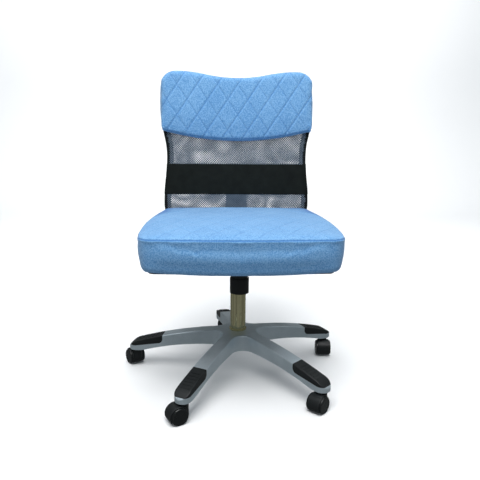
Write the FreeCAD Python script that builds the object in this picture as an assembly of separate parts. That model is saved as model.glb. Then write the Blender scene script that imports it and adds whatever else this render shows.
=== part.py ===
import FreeCAD, Part
import math
import os

# Swivel office chair, armless, on a five-arm base with twin-wheel casters.
# Millimetres. +Z is up, the sitter faces -Y, and the origin is on the floor
# under the column's axis.

V = FreeCAD.Vector

# ---------------------------------------------------------------- casters
CASTERS = 5
WHEEL_DIAMETER = 44.0
WHEEL_WIDTH = 13.0
WHEEL_INNER_FACE = 9.0         # from the caster's middle plane
WHEEL_RIM_ROUND = 3.0
WHEEL_DISH = 0.6               # depth of the outer face inside its rim
CASTER_TRAIL = 17.5            # stem axis to axle
SEATING_ABOVE_WHEEL = 8.5      # top of the wheels to the face that the collar seats on
HOOD_GAP = 0.7                 # wheel tread to the inside of the hood
HOOD_WALL = 2.0
HOOD_HALF_WIDTH = 17.5
HOOD_LOW = 8.0                 # floor to the hood's lower edge
WEB_HALF_WIDTH = 8.5
NECK_RADIUS = 13.3
STEM_RADIUS = 5.5
STEM_IN_BASE = 17.0
STEM_IN_CASTER = 18.0
COLLAR_RADIUS = 7.5
COLLAR_HEIGHT = 2.0
AXLE_RADIUS = 3.0
AXLE_HALF_LENGTH = 18.5
GRIP_RING_DEPTH = 0.9
GRIP_RING_HEIGHT = 3.0
# Heading of each caster at rest, stem to axle, and the arm that it is on
BASE_TURN = 25.8               # first arm, counter-clockwise from +X
CASTER_HEADINGS = [267.7, 42.7, 122.7, 208.7, 227.7]

# ---------------------------------------------------------------- five-arm base
ARM_REACH = 318.0              # column axis to the arm's nose
ARM_ROOT_HALF_WIDTH = 16.6     # the arm's straight sides, produced to the axis
ARM_TAPER = 0.85               # degrees, each side, wider towards the nose
WEB_RADIUS = 53.0              # column axis to the hollow between two arms
BASE_RISE = 80.0               # lip's underside to the hub's top
HUB_DROP = 2.0                 # fall of the hub's top out to its edge
HUB_EDGE = 50.0
HUB_DEPTH = 47.0               # hub's top down to the arms' underside
BOSS_EXTRA = 6.0               # the boss goes below that underside
BOSS_RADIUS = 31.0
EDGE_ROUND = 2.6
BASE_WALL = 3.5
RIB_WALL = 2.4
ARM_RIBS = 6
SOCKET_BOSS_RADIUS = 10.0
# Crest of the arm from the hub's edge: share of the reach, share of the rise
CREST_MIDDLE = (0.430, 0.757)
CREST_END = (0.903, 0.356)
NOSE_MIDDLE = (0.960, 0.250)
NOSE_END = (1.0, 0.118)
# Underside of the arm, the same shares
BELLY_START = (0.052, 0.4125)
BELLY_MIDDLE = (0.430, 0.321)
BELLY_END = (0.790, 0.069)
HEEL_MIDDLE = (0.843, 0.022)
HEEL_END = (0.905, 0.0)

# ---------------------------------------------------------------- tread caps
CAP_START = 216.0
CAP_WALL = 3.0
CAP_CORNER = 11.0
LIP_AT_START = 27.5            # height of the bright lip under the cap's start
LIP_AT_NOSE = 14.5
LIP_LEVEL_FROM = 296.0         # the lip's top edge is level from here out
CAP_RIBS = 6
CAP_RIB_FIRST = 235.0
CAP_RIB_PITCH = 10.5
CAP_RIB_WIDTH = 3.4
CAP_RIB_LENGTH = 25.0
CAP_RIB_HEIGHT = 1.0

# ---------------------------------------------------------------- column
TUBE_RADIUS = 21.5
TUBE_WALL = 1.8
TUBE_TAPER = 0.9               # loss of radius over the hub's depth
TUBE_FLOOR = 4.0
TUBE_ABOVE_HUB = 145.0
BUSH_LENGTH = 70.0
BUSH_FLANGE = 2.0
HUB_RING_WALL = 2.6
HUB_RING_HEIGHT = 2.6
ROD_RADIUS = 5.0
ROD_TAIL = 5.0                 # rod below the tube's floor
CYLINDER_RADIUS = 14.0
CYLINDER_WALL = 1.8
CYLINDER_FLOOR = 12.0
CYLINDER_ROOF = 15.0
CONE_LENGTH = 40.0
CONE_LOSS = 0.8                # loss of radius over the cone
RACE_HEIGHT = 2.0
CAGE_HEIGHT = 3.0
BALLS = 10
BALL_RADIUS = 1.6
RACE_RADIUS = 14.0
BUMPER_HEIGHT = 6.7
PISTON_HEIGHT = 10.0
STROKE = 100.0
PIN_RADIUS = 3.5
PIN_PROUD = 6.0
PIN_LENGTH = 20.0
CLIP_HEIGHT = 1.4
CLIP_RADIUS = 9.0
RUNNING = 0.05                 # radial clearance of every running fit
TOUCH_GAP = 0.3                # between pieces that only come close

# ---------------------------------------------------------------- loose sleeve
SLEEVE_PLAY = 3.4              # column tube to the sleeve's bore, all round
SLEEVE_WALL = 1.6
SLEEVE_OFFSET = 3.2            # it hangs to one side
SLEEVE_NECK_PROUD = 2.0        # neck's radius over the column tube's
SLEEVE_NECK_WALL = 1.5
SLEEVE_OVERLAP = 38.0          # column tube inside the sleeve at the lowest seat

# ---------------------------------------------------------------- mechanism
MECH_PLATE_X = 190.0
MECH_PLATE_Y = 224.0
MECH_BOLTS_X = 150.0
MECH_BOLTS_Y = 200.0
MECH_BOLT_MIDDLE_Y = 5.0
MECH_SHEET = 2.5
CHANNEL_HALF_WIDTH = 52.0
CHANNEL_DEPTH = 42.0
CHANNEL_FRONT = -80.0
CHANNEL_REAR = 96.0
SOCKET_WALL = 3.5
SOCKET_BELOW = 18.0
BOLT_RADIUS = 4.0
BOLT_HEAD_ACROSS = 13.0
BOLT_HEAD_HEIGHT = 5.3
TEE_BARREL_RADIUS = 5.2
TEE_FLANGE_RADIUS = 10.0
TEE_FLANGE_HEIGHT = 1.5
LEVER_RADIUS = 4.0
LEVER_PIVOT = 30.0             # fulcrum to the column's axis
LEVER_BEND = 18.0
LEVER_DROP = 18.0
LEVER_REACH = 212.0
LEVER_ANGLE = 6.0              # full lift of the handle, degrees
FULCRUM_RADIUS = 3.0
PADDLE_LENGTH = 66.0
PADDLE_WIDTH = 26.0
PADDLE_HEIGHT = 12.0

# ---------------------------------------------------------------- seat
SEAT_WIDTH = 503.5
SEAT_REAR_WIDTH = 436.0
SEAT_FRONT_WIDTH = 496.0
SEAT_DEPTH = 440.0
SEAT_FRONT = -243.0
SEAT_WIDEST = 131.0            # from the front edge back to the widest place
SEAT_FRONT_BOW = 7.0
SEAT_REAR_BOW = 5.0
SEAT_CORNER = 42.0
SEAT_SIDE_HEIGHT = 86.0        # cushion's underside to its top seam
SEAT_CROWN = 12.0
SEAT_TUCK = 16.0               # the underside is this much smaller all round
BOARD_INSET = 22.0             # inside the cushion's underside
BOARD_THICKNESS = 12.0
DUST_COVER = 1.0
SEAT_ABOVE_TUBE = 79.0         # column tube's top to the mechanism plate's top

# ---------------------------------------------------------------- back
BACK_CURVE = 1600.0            # radius of the back's side view
BACK_STANDOFF = 1.0            # seat's rear edge to the frame tube
FRAME_TUBE = 9.0               # tube's radius
FRAME_TUBE_WALL = 1.5
FRAME_SAMPLE = 9.0             # spacing of the points that the bent tube follows
# Frame's centre line in front view, half-widths
FRAME_TOP_HALF = 182.0         # where the top's rounded corner starts
FRAME_CORNER = 31.5
FRAME_LOWER_CORNER = 34.0
FRAME_WAIST_HALF = 199.0
FRAME_FOOT_HALF = 209.5
# Heights above the seat's top seam
FORWARD_RISE = 31.0            # where the back comes furthest forward
FRAME_DIP_RISE = 373.0
FRAME_TOP_RISE = 391.0
FRAME_SHOULDER_RISE = 273.0    # where the sides become straight
FRAME_WAIST_RISE = 154.0
FRAME_FOOT_RISE = -32.0
CROSSBAR_RISES = [67.0, 109.0]
BAND_LOW_RISE = 40.0
BAND_HIGH_RISE = 131.0
PAD_SIDE_RISE = 230.0
PAD_MIDDLE_RISE = 199.0
BAR_TOP_RISE = 117.0
BAR_COVER_RISE = -97.0
CROSSBAR_WIDTH = 24.0
CROSSBAR_THICKNESS = 3.0
WELD_GAP = 0.05
MESH_GAP = 0.35
MESH_THICKNESS = 0.8
BAND_THICKNESS = 0.9
PAD_FRONT = 22.0               # padding in front of the mesh
PAD_REAR = 2.4
PAD_RIM = 4.0

# ---------------------------------------------------------------- back support bar
BAR_WIDTH = 60.0
BAR_THICKNESS = 6.0
BAR_BEND = 24.0                # inner radius
BAR_START = 32.0
BAR_COVER_WALL = 2.5
BAR_COVER_DEPTH = 21.0
BAR_BOLT_X = 40.0
BAR_BOLT_Y = [48.0, 80.0]
FRAME_BOLT_RADIUS = 3.0
FRAME_BOLT_HEAD = 5.5
FRAME_BOLT_HEAD_HEIGHT = 3.5

# ---------------------------------------------------------------- worked out
WHEEL_RADIUS = WHEEL_DIAMETER / 2
CASTER_HEIGHT = WHEEL_DIAMETER + SEATING_ABOVE_WHEEL
BASE_LOW = CASTER_HEIGHT
HUB_TOP = BASE_LOW + BASE_RISE
HUB_LOW = HUB_TOP - HUB_DEPTH
BOSS_LOW = HUB_LOW - BOSS_EXTRA
TUBE_TOP = HUB_TOP + TUBE_ABOVE_HUB
TUBE_BORE = TUBE_RADIUS - TUBE_WALL
RACE_LOW = BOSS_LOW + TUBE_FLOOR
CAGE_LOW = RACE_LOW + RACE_HEIGHT + RUNNING
UPPER_RACE_LOW = CAGE_LOW + CAGE_HEIGHT
BUMPER_LOW = UPPER_RACE_LOW + RACE_HEIGHT
CYLINDER_LOW = BUMPER_LOW + BUMPER_HEIGHT + TOUCH_GAP
MECH_TOP = TUBE_TOP + SEAT_ABOVE_TUBE
CHANNEL_LOW = MECH_TOP - MECH_SHEET - CHANNEL_DEPTH
CONE_LOW = CHANNEL_LOW - SOCKET_BELOW
CYLINDER_TOP = CONE_LOW + CONE_LENGTH
PIN_TOP = CYLINDER_TOP + PIN_PROUD
SEAT_LOW = MECH_TOP + DUST_COVER
BOARD_TOP = SEAT_LOW + BOARD_THICKNESS
SEAM = SEAT_LOW + SEAT_SIDE_HEIGHT
SLEEVE_LOW = TUBE_TOP - SLEEVE_OVERLAP
SLEEVE_SHOULDER = TUBE_TOP + BUSH_FLANGE + TOUCH_GAP + SLEEVE_WALL
SLEEVE_RADIUS = TUBE_RADIUS + SLEEVE_PLAY + SLEEVE_WALL
SLEEVE_NECK_RADIUS = TUBE_RADIUS + SLEEVE_NECK_PROUD
MESH_OUT = FRAME_TUBE + MESH_GAP + MESH_THICKNESS
BAND_OUT = MESH_OUT + BAND_THICKNESS
BACK_PLANE = SEAT_FRONT + SEAT_DEPTH + SEAT_REAR_BOW + BACK_STANDOFF + FRAME_TUBE
BACK_WAIST = SEAM + FORWARD_RISE
FRAME_DIP = SEAM + FRAME_DIP_RISE
FRAME_TOP = SEAM + FRAME_TOP_RISE
FRAME_SHOULDER = SEAM + FRAME_SHOULDER_RISE
FRAME_WAIST = SEAM + FRAME_WAIST_RISE
FRAME_FOOT = SEAM + FRAME_FOOT_RISE
CROSSBAR_HEIGHTS = [SEAM + rise for rise in CROSSBAR_RISES]
BAND_LOW = SEAM + BAND_LOW_RISE
BAND_HIGH = SEAM + BAND_HIGH_RISE
PAD_LOW_SIDE = SEAM + PAD_SIDE_RISE
PAD_LOW_MIDDLE = SEAM + PAD_MIDDLE_RISE
BAR_TOP = SEAM + BAR_TOP_RISE
BAR_COVER_LOW = SEAM + BAR_COVER_RISE


# ---------------------------------------------------------------- helpers
def turned(shape, degrees, about=None, axis=None):
    """A copy of the shape turned about a vertical axis, or about another line."""
    copy = shape.copy()
    copy.rotate(about or V(0, 0, 0), axis or V(0, 0, 1), degrees)
    return copy


def moved(shape, x=0.0, y=0.0, z=0.0):
    copy = shape.copy()
    copy.translate(V(x, y, z))
    return copy


def mirrored_x(shape):
    return shape.mirror(V(0, 0, 0), V(1, 0, 0))


def upright(radius, low, high, x=0.0, y=0.0):
    """A solid cylinder standing on the height low."""
    return Part.makeCylinder(radius, high - low, V(x, y, low))


def ring(outer, inner, low, high, x=0.0, y=0.0):
    return upright(outer, low, high, x, y).cut(upright(inner, low - 1, high + 1, x, y))


def cone_stretch(low_radius, high_radius, low, high):
    return Part.makeCone(low_radius, high_radius, high - low, V(0, 0, low))


def block(x0, x1, y0, y1, z0, z1):
    return Part.makeBox(x1 - x0, y1 - y0, z1 - z0, V(x0, y0, z0))


def line(a, b):
    return Part.LineSegment(a, b).toShape()


def arc(a, middle, b):
    return Part.Arc(a, middle, b).toShape()


def polygon(points):
    return Part.Wire(Part.makePolygon(points + [points[0]]))


def fused(shapes):
    result = shapes[0].multiFuse(shapes[1:]) if len(shapes) > 1 else shapes[0]
    return result.removeSplitter()


def bent_path(points, radius):
    """Straight runs between the points, joined by tangent arcs of one radius."""
    edges = []
    start = points[0]
    for before, corner, after in zip(points, points[1:], points[2:]):
        back = (before - corner).normalize()
        ahead = (after - corner).normalize()
        half_angle = back.getAngle(ahead) / 2
        reach = radius / math.tan(half_angle)
        inward = (back + ahead).normalize()
        first = corner + back * reach
        last = corner + ahead * reach
        nearest = corner + inward * (radius / math.sin(half_angle) - radius)
        edges.append(line(start, first))
        edges.append(arc(first, nearest, last))
        start = last
    edges.append(line(start, points[-1]))
    return Part.Wire(edges)


def rod_along(path, radius):
    """A round rod along a path that runs nearly in an upright plane across Y."""
    start = path.OrderedEdges[0]
    origin = start.valueAt(start.FirstParameter)
    tangent = start.tangentAt(start.FirstParameter)
    circle = Part.Wire(Part.Circle(origin, tangent, radius).toShape())
    sweep = Part.BRepOffsetAPI.MakePipeShell(path)
    sweep.setBiNormalMode(V(0, 1, 0))
    sweep.add(circle, False, False)
    sweep.build()
    sweep.makeSolid()
    return sweep.shape()


def hexagon_head(across, low, high, x, y):
    corner = across / math.sqrt(3)
    points = []
    for side in range(6):
        angle = math.radians(60 * side + 30)
        points.append(V(x + corner * math.cos(angle), y + corner * math.sin(angle), low))
    return Part.Face(polygon(points)).extrude(V(0, 0, high - low))


def save(name, shape):
    if shape.ShapeType != "Compound" and len(shape.Solids) == 1:
        shape = shape.Solids[0]
    if not shape.isValid():
        print("not valid:", name)
    shape.exportStep(f"parts/{name}.step")
    count = len(shape.Solids)
    print(f"{name}: {count} solid(s), {sum(s.Volume for s in shape.Solids) / 1000:.2f} cm3")


os.makedirs("parts", exist_ok=True)


# ---------------------------------------------------------------- five-arm base
def arm_angle(arm):
    return BASE_TURN + 360.0 / CASTERS * arm


def arm_tip(inset=0.0):
    """Centre and radius of the round end of an arm in plan."""
    taper = math.radians(ARM_TAPER)
    root = ARM_ROOT_HALF_WIDTH * math.cos(taper) - inset
    centre = (ARM_REACH - inset - root) / (1 + math.sin(taper))
    return centre, root + centre * math.sin(taper)


STEM_PLACE = arm_tip()[0]


def star_plan(inset, height):
    """Plan outline of the whole base: straight tapered arms, round ends, hollow webs."""
    taper = math.radians(ARM_TAPER)
    half = math.pi / CASTERS
    root = ARM_ROOT_HALF_WIDTH * math.cos(taper) - inset
    web = WEB_RADIUS - inset
    centre = (web - root) / (1 - math.sin(half - taper))
    hollow = centre - web
    web_u = centre * math.cos(half) + hollow * math.sin(taper)
    web_v = centre * math.sin(half) - hollow * math.cos(taper)
    tip, tip_radius = arm_tip(inset)
    tip_u = tip - tip_radius * math.sin(taper)
    tip_v = tip_radius * math.cos(taper)
    edges = []
    for arm in range(CASTERS):
        angle = math.radians(arm_angle(arm))

        def at(u, v, turn=angle):
            return V(
                u * math.cos(turn) - v * math.sin(turn),
                u * math.sin(turn) + v * math.cos(turn),
                height,
            )

        after = angle + 2 * half
        edges.append(line(at(web_u, -web_v), at(tip_u, -tip_v)))
        edges.append(arc(at(tip_u, -tip_v), at(ARM_REACH - inset, 0), at(tip_u, tip_v)))
        edges.append(line(at(tip_u, tip_v), at(web_u, web_v)))
        edges.append(arc(at(web_u, web_v), at(web, 0, angle + half), at(web_u, -web_v, after)))
    return Part.Wire(edges)


def arm_point(shares, lower=0.0):
    """A point of the arm's side view from its shares of reach and rise."""
    reach = HUB_EDGE + shares[0] * (ARM_REACH - HUB_EDGE)
    return V(reach, 0, BASE_LOW + shares[1] * BASE_RISE - lower)


def star_form(inset=0.0, open_below=False):
    """The base as one full body, each face moved in by the inset."""
    centre_top = V(0, 0, HUB_TOP - inset)
    hub_edge = V(HUB_EDGE, 0, HUB_TOP - HUB_DROP - inset)
    crest = arm_point(CREST_END, inset)
    nose = arm_point(NOSE_END, inset)
    beyond = nose + V(4, 0, -6)
    edges = [
        line(centre_top, hub_edge),
        arc(hub_edge, arm_point(CREST_MIDDLE, inset), crest),
        arc(crest, arm_point(NOSE_MIDDLE, inset), nose),
        line(nose, beyond),
    ]
    if open_below:
        floor_out = V(beyond.x, 0, 1)
        floor_in = V(0, 0, 1)
        edges += [line(beyond, floor_out), line(floor_out, floor_in), line(floor_in, centre_top)]
    else:
        out = V(beyond.x, 0, BASE_LOW)
        heel = arm_point(HEEL_END)
        belly_end = arm_point(BELLY_END)
        belly_start = arm_point(BELLY_START)
        hub_under = V(0, 0, belly_start.z)
        edges += [
            line(beyond, out),
            line(out, heel),
            arc(heel, arm_point(HEEL_MIDDLE), belly_end),
            arc(belly_end, arm_point(BELLY_MIDDLE), belly_start),
            line(belly_start, hub_under),
            line(hub_under, centre_top),
        ]
    side_view = Part.Face(Part.Wire(edges))
    turned_body = side_view.revolve(V(0, 0, 0), V(0, 0, 1), 360)
    plan = Part.Face(star_plan(inset, 0.5)).extrude(V(0, 0, HUB_TOP + 20))
    return turned_body.common(plan)


def top_edges(body):
    """The edges where the base's top meets its sides."""
    chosen = []
    for edge in body.Edges:
        samples = [edge.valueAt(edge.FirstParameter + share * (edge.LastParameter - edge.FirstParameter))
                   for share in (0.1, 0.5, 0.9)]
        radii = [math.hypot(p.x, p.y) for p in samples]
        on_crest = all(p.z > crest_height(r) - 0.4 for p, r in zip(samples, radii))
        if on_crest and min(radii) > WEB_RADIUS - 2:
            chosen.append(edge)
    return chosen


def crest_height(radius):
    """Height of the base's top at a distance from the axis."""
    if radius <= HUB_EDGE:
        return HUB_TOP - HUB_DROP * radius / HUB_EDGE
    points = [V(HUB_EDGE, 0, HUB_TOP - HUB_DROP), arm_point(CREST_MIDDLE), arm_point(CREST_END)]
    if radius > points[2].x:
        points = [arm_point(CREST_END), arm_point(NOSE_MIDDLE), arm_point(NOSE_END)]
    curve = Part.Arc(*points)
    hits = curve.toShape().distToShape(line(V(radius, 0, 0), V(radius, 0, HUB_TOP + 50)))[1]
    return hits[0][0].z


def in_arm(shape, arm):
    """A shape drawn with its arm along +X, turned onto one of the arms."""
    return turned(shape, arm_angle(arm))


def lip_height(reach):
    share = min(max((reach - CAP_START) / (LIP_LEVEL_FROM - CAP_START), 0.0), 1.0)
    return BASE_LOW + LIP_AT_START + share * (LIP_AT_NOSE - LIP_AT_START)


def cap_space():
    """The block above the bright lip that a tread cap takes up, its arm along +X."""
    start = CAP_START
    width = 40.0
    high = HUB_TOP + 10
    out = ARM_REACH + 20
    corner_z = lip_height(CAP_START)
    lip = V(LIP_LEVEL_FROM, 0, lip_height(LIP_LEVEL_FROM))
    slope = (corner_z - lip.z) / (LIP_LEVEL_FROM - CAP_START)
    low_corner = V(start + CAP_CORNER, 0, corner_z - slope * CAP_CORNER)
    side_corner = V(start, 0, corner_z + CAP_CORNER)
    middle = V(start + CAP_CORNER * 0.3, 0, corner_z + CAP_CORNER * 0.25)
    nose = V(out, 0, lip.z)
    edges = [
        line(V(start, 0, high), side_corner),
        arc(side_corner, middle, low_corner),
        line(low_corner, lip),
        line(lip, nose),
        line(nose, V(out, 0, high)),
        line(V(out, 0, high), V(start, 0, high)),
    ]
    face = Part.Face(Part.Wire(edges))
    return moved(face, y=-width / 2 - 10).extrude(V(0, width + 20, 0))


def rounded_star():
    body = star_form()
    return body.makeFillet(EDGE_ROUND, top_edges(body))


def tread_caps(full_form, core):
    proud = star_form(-CAP_RIB_HEIGHT, True)
    space = in_arm(cap_space(), 0)
    cap = full_form.common(space).cut(core)
    bars = []
    for bar in range(CAP_RIBS):
        place = CAP_RIB_FIRST + CAP_RIB_PITCH * bar
        bars.append(block(place, place + CAP_RIB_WIDTH, -CAP_RIB_LENGTH / 2,
                          CAP_RIB_LENGTH / 2, BASE_LOW, HUB_TOP))
    bars = in_arm(fused(bars), 0).common(proud).cut(core)
    cap = fused([cap, bars])
    return [turned(cap, 360.0 / CASTERS * arm) for arm in range(CASTERS)]


def arm_pockets():
    """The hollow cells under one arm, between its ribs, the arm along +X."""
    inner = in_arm_space(BASE_WALL, WEB_RADIUS - 6, CAP_START - BASE_WALL)
    outer = in_arm_space(CAP_WALL + BASE_WALL, CAP_START, ARM_REACH - BASE_WALL)
    ribs = [block(0, ARM_REACH, -RIB_WALL / 2, RIB_WALL / 2, 0, HUB_TOP)]
    pitch = (STEM_PLACE - WEB_RADIUS) / ARM_RIBS
    for rib in range(1, ARM_RIBS):
        place = WEB_RADIUS + pitch * rib
        ribs.append(block(place, place + RIB_WALL, -40, 40, 0, HUB_TOP))
    ribs.append(upright(SOCKET_BOSS_RADIUS, 0, HUB_TOP, STEM_PLACE, 0))
    ribs.append(upright(BOSS_RADIUS, 0, HUB_TOP))
    return [space.cut(fused(ribs)) for space in (inner, outer)]


def in_arm_space(inset, start, end):
    body = turned(star_form(inset, True), -arm_angle(0))
    return body.common(block(start, end, -40, 40, 0, HUB_TOP))


def star_base(full_form, caps):
    pockets = arm_pockets()
    body = full_form.cut(Part.makeCompound(caps))
    cuts = []
    for arm in range(CASTERS):
        cuts += [in_arm(pocket, arm) for pocket in pockets]
        socket = upright(STEM_RADIUS, 0, BASE_LOW + STEM_IN_BASE + 1, STEM_PLACE, 0)
        cuts.append(in_arm(socket, arm))
    body = body.cut(Part.makeCompound(cuts))
    boss = upright(BOSS_RADIUS, BOSS_LOW, HUB_LOW + 8)
    body = fused([body, boss])
    return body.cut(tube_outside(BOSS_LOW - 1, HUB_TOP + 1))


def tube_outside(low, high):
    """The column tube's outside, which narrows inside the hub, between two heights."""
    taper = cone_stretch(TUBE_RADIUS - TUBE_TAPER, TUBE_RADIUS, BOSS_LOW, HUB_TOP)
    above = upright(TUBE_RADIUS, HUB_TOP, max(high, HUB_TOP + 1))
    below = upright(TUBE_RADIUS - TUBE_TAPER, min(low, BOSS_LOW - 1), BOSS_LOW)
    body = taper.fuse(above)
    return body.fuse(below) if low < BOSS_LOW else body


full_form = rounded_star()
cap_core = star_form(CAP_WALL, True)
caps = tread_caps(full_form, cap_core)
save("star_base", star_base(full_form, caps))
for number, cap in enumerate(caps, 1):
    save(f"tread_cap_{number}", cap)

hub_ring = upright(TUBE_RADIUS + HUB_RING_WALL, HUB_LOW, HUB_TOP + HUB_RING_HEIGHT)
hub_ring = hub_ring.cut(full_form).cut(tube_outside(BOSS_LOW - 1, HUB_TOP + 20))
hub_ring = hub_ring.common(upright(HUB_EDGE, HUB_TOP - HUB_DROP, HUB_TOP + 20))
save("hub_ring", hub_ring)


# ---------------------------------------------------------------- casters
def caster_body():
    """Hood, middle web and neck, the stem's axis at the origin, the axle towards +X."""
    wide = 2 * HOOD_HALF_WIDTH
    hood_radius = WHEEL_RADIUS + HOOD_GAP + HOOD_WALL
    axle = V(CASTER_TRAIL, 0, WHEEL_RADIUS)
    hood = Part.makeCylinder(hood_radius, wide, axle - V(0, HOOD_HALF_WIDTH, 0), V(0, 1, 0))
    round_edges = [e for e in hood.Edges if abs(e.Length - 2 * math.pi * hood_radius) < 0.1]
    hood = hood.makeFillet(HOOD_WALL * 0.9, round_edges)
    neck_top = CASTER_HEIGHT - COLLAR_HEIGHT - TOUCH_GAP
    neck = upright(NECK_RADIUS, WHEEL_RADIUS, neck_top)
    neck = neck.makeFillet(1.5, [e for e in neck.Edges if abs(e.BoundBox.ZMin - neck_top) < 0.01
                                 and e.BoundBox.ZLength < 0.01])
    body = fused([hood, neck])
    wheel_room = WHEEL_RADIUS + HOOD_GAP
    for side in (-1, 1):
        start = axle + V(0, side * WEB_HALF_WIDTH, 0)
        room = Part.makeCylinder(wheel_room, 40, start, V(0, side, 0))
        body = body.cut(room)
    body = body.cut(block(-60, 90, -60, 60, -20, HOOD_LOW))
    stem_hole = upright(STEM_RADIUS + RUNNING, neck_top - STEM_IN_CASTER - 1, neck_top + 5)
    axle_hole = Part.makeCylinder(AXLE_RADIUS, wide, axle - V(0, HOOD_HALF_WIDTH, 0), V(0, 1, 0))
    body = body.cut(stem_hole).cut(axle_hole)
    return max(body.Solids, key=lambda solid: solid.Volume)


def caster_stem():
    """Stem with the collar that the base rests on and a groove for its grip ring."""
    neck_top = CASTER_HEIGHT - COLLAR_HEIGHT - TOUCH_GAP
    stem = upright(STEM_RADIUS, neck_top - STEM_IN_CASTER, CASTER_HEIGHT + STEM_IN_BASE)
    collar = upright(COLLAR_RADIUS, CASTER_HEIGHT - COLLAR_HEIGHT, CASTER_HEIGHT)
    stem = stem.fuse(collar).removeSplitter()
    groove_low = CASTER_HEIGHT + STEM_IN_BASE - 2 * GRIP_RING_HEIGHT
    return stem.cut(grip_ring_shape(groove_low))


def grip_ring_shape(low):
    return ring(STEM_RADIUS, STEM_RADIUS - GRIP_RING_DEPTH, low, low + GRIP_RING_HEIGHT)


def wheel(side):
    """One wheel with a rounded rim and a shallow dished outer face, axle towards +Y."""
    inner = WHEEL_INNER_FACE
    outer = inner + WHEEL_WIDTH
    rim = WHEEL_RIM_ROUND
    bore = AXLE_RADIUS + RUNNING
    dish_rim = WHEEL_RADIUS - rim - 2 * WHEEL_DISH
    half = math.sqrt(0.5)
    round_mid = V(WHEEL_RADIUS - rim + rim * half, outer - rim + rim * half, 0)
    edges = [
        line(V(0, AXLE_HALF_LENGTH + TOUCH_GAP, 0), V(bore, AXLE_HALF_LENGTH + TOUCH_GAP, 0)),
        line(V(bore, AXLE_HALF_LENGTH + TOUCH_GAP, 0), V(bore, inner, 0)),
        line(V(bore, inner, 0), V(WHEEL_RADIUS - 0.8, inner, 0)),
        line(V(WHEEL_RADIUS - 0.8, inner, 0), V(WHEEL_RADIUS, inner + 0.8, 0)),
        line(V(WHEEL_RADIUS, inner + 0.8, 0), V(WHEEL_RADIUS, outer - rim, 0)),
        arc(V(WHEEL_RADIUS, outer - rim, 0), round_mid, V(WHEEL_RADIUS - rim, outer, 0)),
        line(V(WHEEL_RADIUS - rim, outer, 0), V(dish_rim, outer - WHEEL_DISH, 0)),
        line(V(dish_rim, outer - WHEEL_DISH, 0), V(0, outer - WHEEL_DISH, 0)),
        line(V(0, outer - WHEEL_DISH, 0), V(0, AXLE_HALF_LENGTH + TOUCH_GAP, 0)),
    ]
    body = Part.Face(Part.Wire(edges)).revolve(V(0, 0, 0), V(0, 1, 0), 360)
    if side < 0:
        body = turned(body, 180)
    return moved(body, x=CASTER_TRAIL, z=WHEEL_RADIUS)


def on_caster(shape, caster):
    """A shape drawn about a stem, placed on its arm and turned to its heading."""
    angle = math.radians(arm_angle(caster))
    placed = turned(shape, CASTER_HEADINGS[caster])
    return moved(placed, STEM_PLACE * math.cos(angle), STEM_PLACE * math.sin(angle))


body_shape = caster_body()
axle_start = V(CASTER_TRAIL, -AXLE_HALF_LENGTH, WHEEL_RADIUS)
axle_shape = Part.makeCylinder(AXLE_RADIUS, 2 * AXLE_HALF_LENGTH, axle_start, V(0, 1, 0))
stem_shape = caster_stem()
ring_shape = grip_ring_shape(CASTER_HEIGHT + STEM_IN_BASE - 2 * GRIP_RING_HEIGHT)
for caster in range(CASTERS):
    number = caster + 1
    save(f"caster_body_{number}", on_caster(body_shape, caster))
    save(f"caster_axle_{number}", on_caster(axle_shape, caster))
    save(f"caster_wheel_a_{number}", on_caster(wheel(1), caster))
    save(f"caster_wheel_b_{number}", on_caster(wheel(-1), caster))
every = range(CASTERS)
save("caster_stems", Part.makeCompound([on_caster(stem_shape, caster) for caster in every]))
save("stem_grip_rings", Part.makeCompound([on_caster(ring_shape, caster) for caster in every]))

# ---------------------------------------------------------------- column
tube_shape = tube_outside(BOSS_LOW, TUBE_TOP).common(upright(60, BOSS_LOW, TUBE_TOP))
tube_shape = tube_shape.cut(upright(TUBE_BORE - TUBE_TAPER, RACE_LOW, HUB_TOP))
tube_shape = tube_shape.cut(upright(TUBE_BORE, HUB_TOP, TUBE_TOP + 1))
tube_shape = tube_shape.cut(upright(ROD_RADIUS + RUNNING, BOSS_LOW - 1, RACE_LOW + 1))
save("stand_tube", tube_shape)

bush = ring(TUBE_BORE, CYLINDER_RADIUS + RUNNING, TUBE_TOP - BUSH_LENGTH, TUBE_TOP)
flange = ring(TUBE_RADIUS, CYLINDER_RADIUS + RUNNING, TUBE_TOP, TUBE_TOP + BUSH_FLANGE)
save("guide_bush", fused([bush, flange]))

save("thrust_race_lower", ring(RACE_RADIUS, ROD_RADIUS + 0.4, RACE_LOW, RACE_LOW + RACE_HEIGHT))
cage = ring(RACE_RADIUS - 1.5, ROD_RADIUS + 1.0, CAGE_LOW + 0.6, UPPER_RACE_LOW)
balls = []
for ball in range(BALLS):
    angle = 2 * math.pi * ball / BALLS
    middle = (RACE_RADIUS + ROD_RADIUS) / 2
    centre = V(middle * math.cos(angle), middle * math.sin(angle), CAGE_LOW + BALL_RADIUS)
    balls.append(Part.makeSphere(BALL_RADIUS, centre))
save("thrust_ball_cage", fused([cage] + balls).common(upright(60, CAGE_LOW, UPPER_RACE_LOW)))
save("thrust_race_upper", ring(RACE_RADIUS, ROD_RADIUS, UPPER_RACE_LOW, BUMPER_LOW))
save("rubber_bumper", ring(CYLINDER_RADIUS - 2, ROD_RADIUS, BUMPER_LOW, BUMPER_LOW + BUMPER_HEIGHT))
clip_high = BOSS_LOW - 0.1
save("rod_clip", ring(CLIP_RADIUS, ROD_RADIUS, clip_high - CLIP_HEIGHT, clip_high))

piston_low = CYLINDER_LOW + CYLINDER_FLOOR + STROKE + 3
rod_top = piston_low + PISTON_HEIGHT
save("piston_rod", upright(ROD_RADIUS, BOSS_LOW - ROD_TAIL, rod_top))
piston_radius = CYLINDER_RADIUS - CYLINDER_WALL - RUNNING
save("piston", ring(piston_radius, ROD_RADIUS, piston_low, rod_top))


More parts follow.
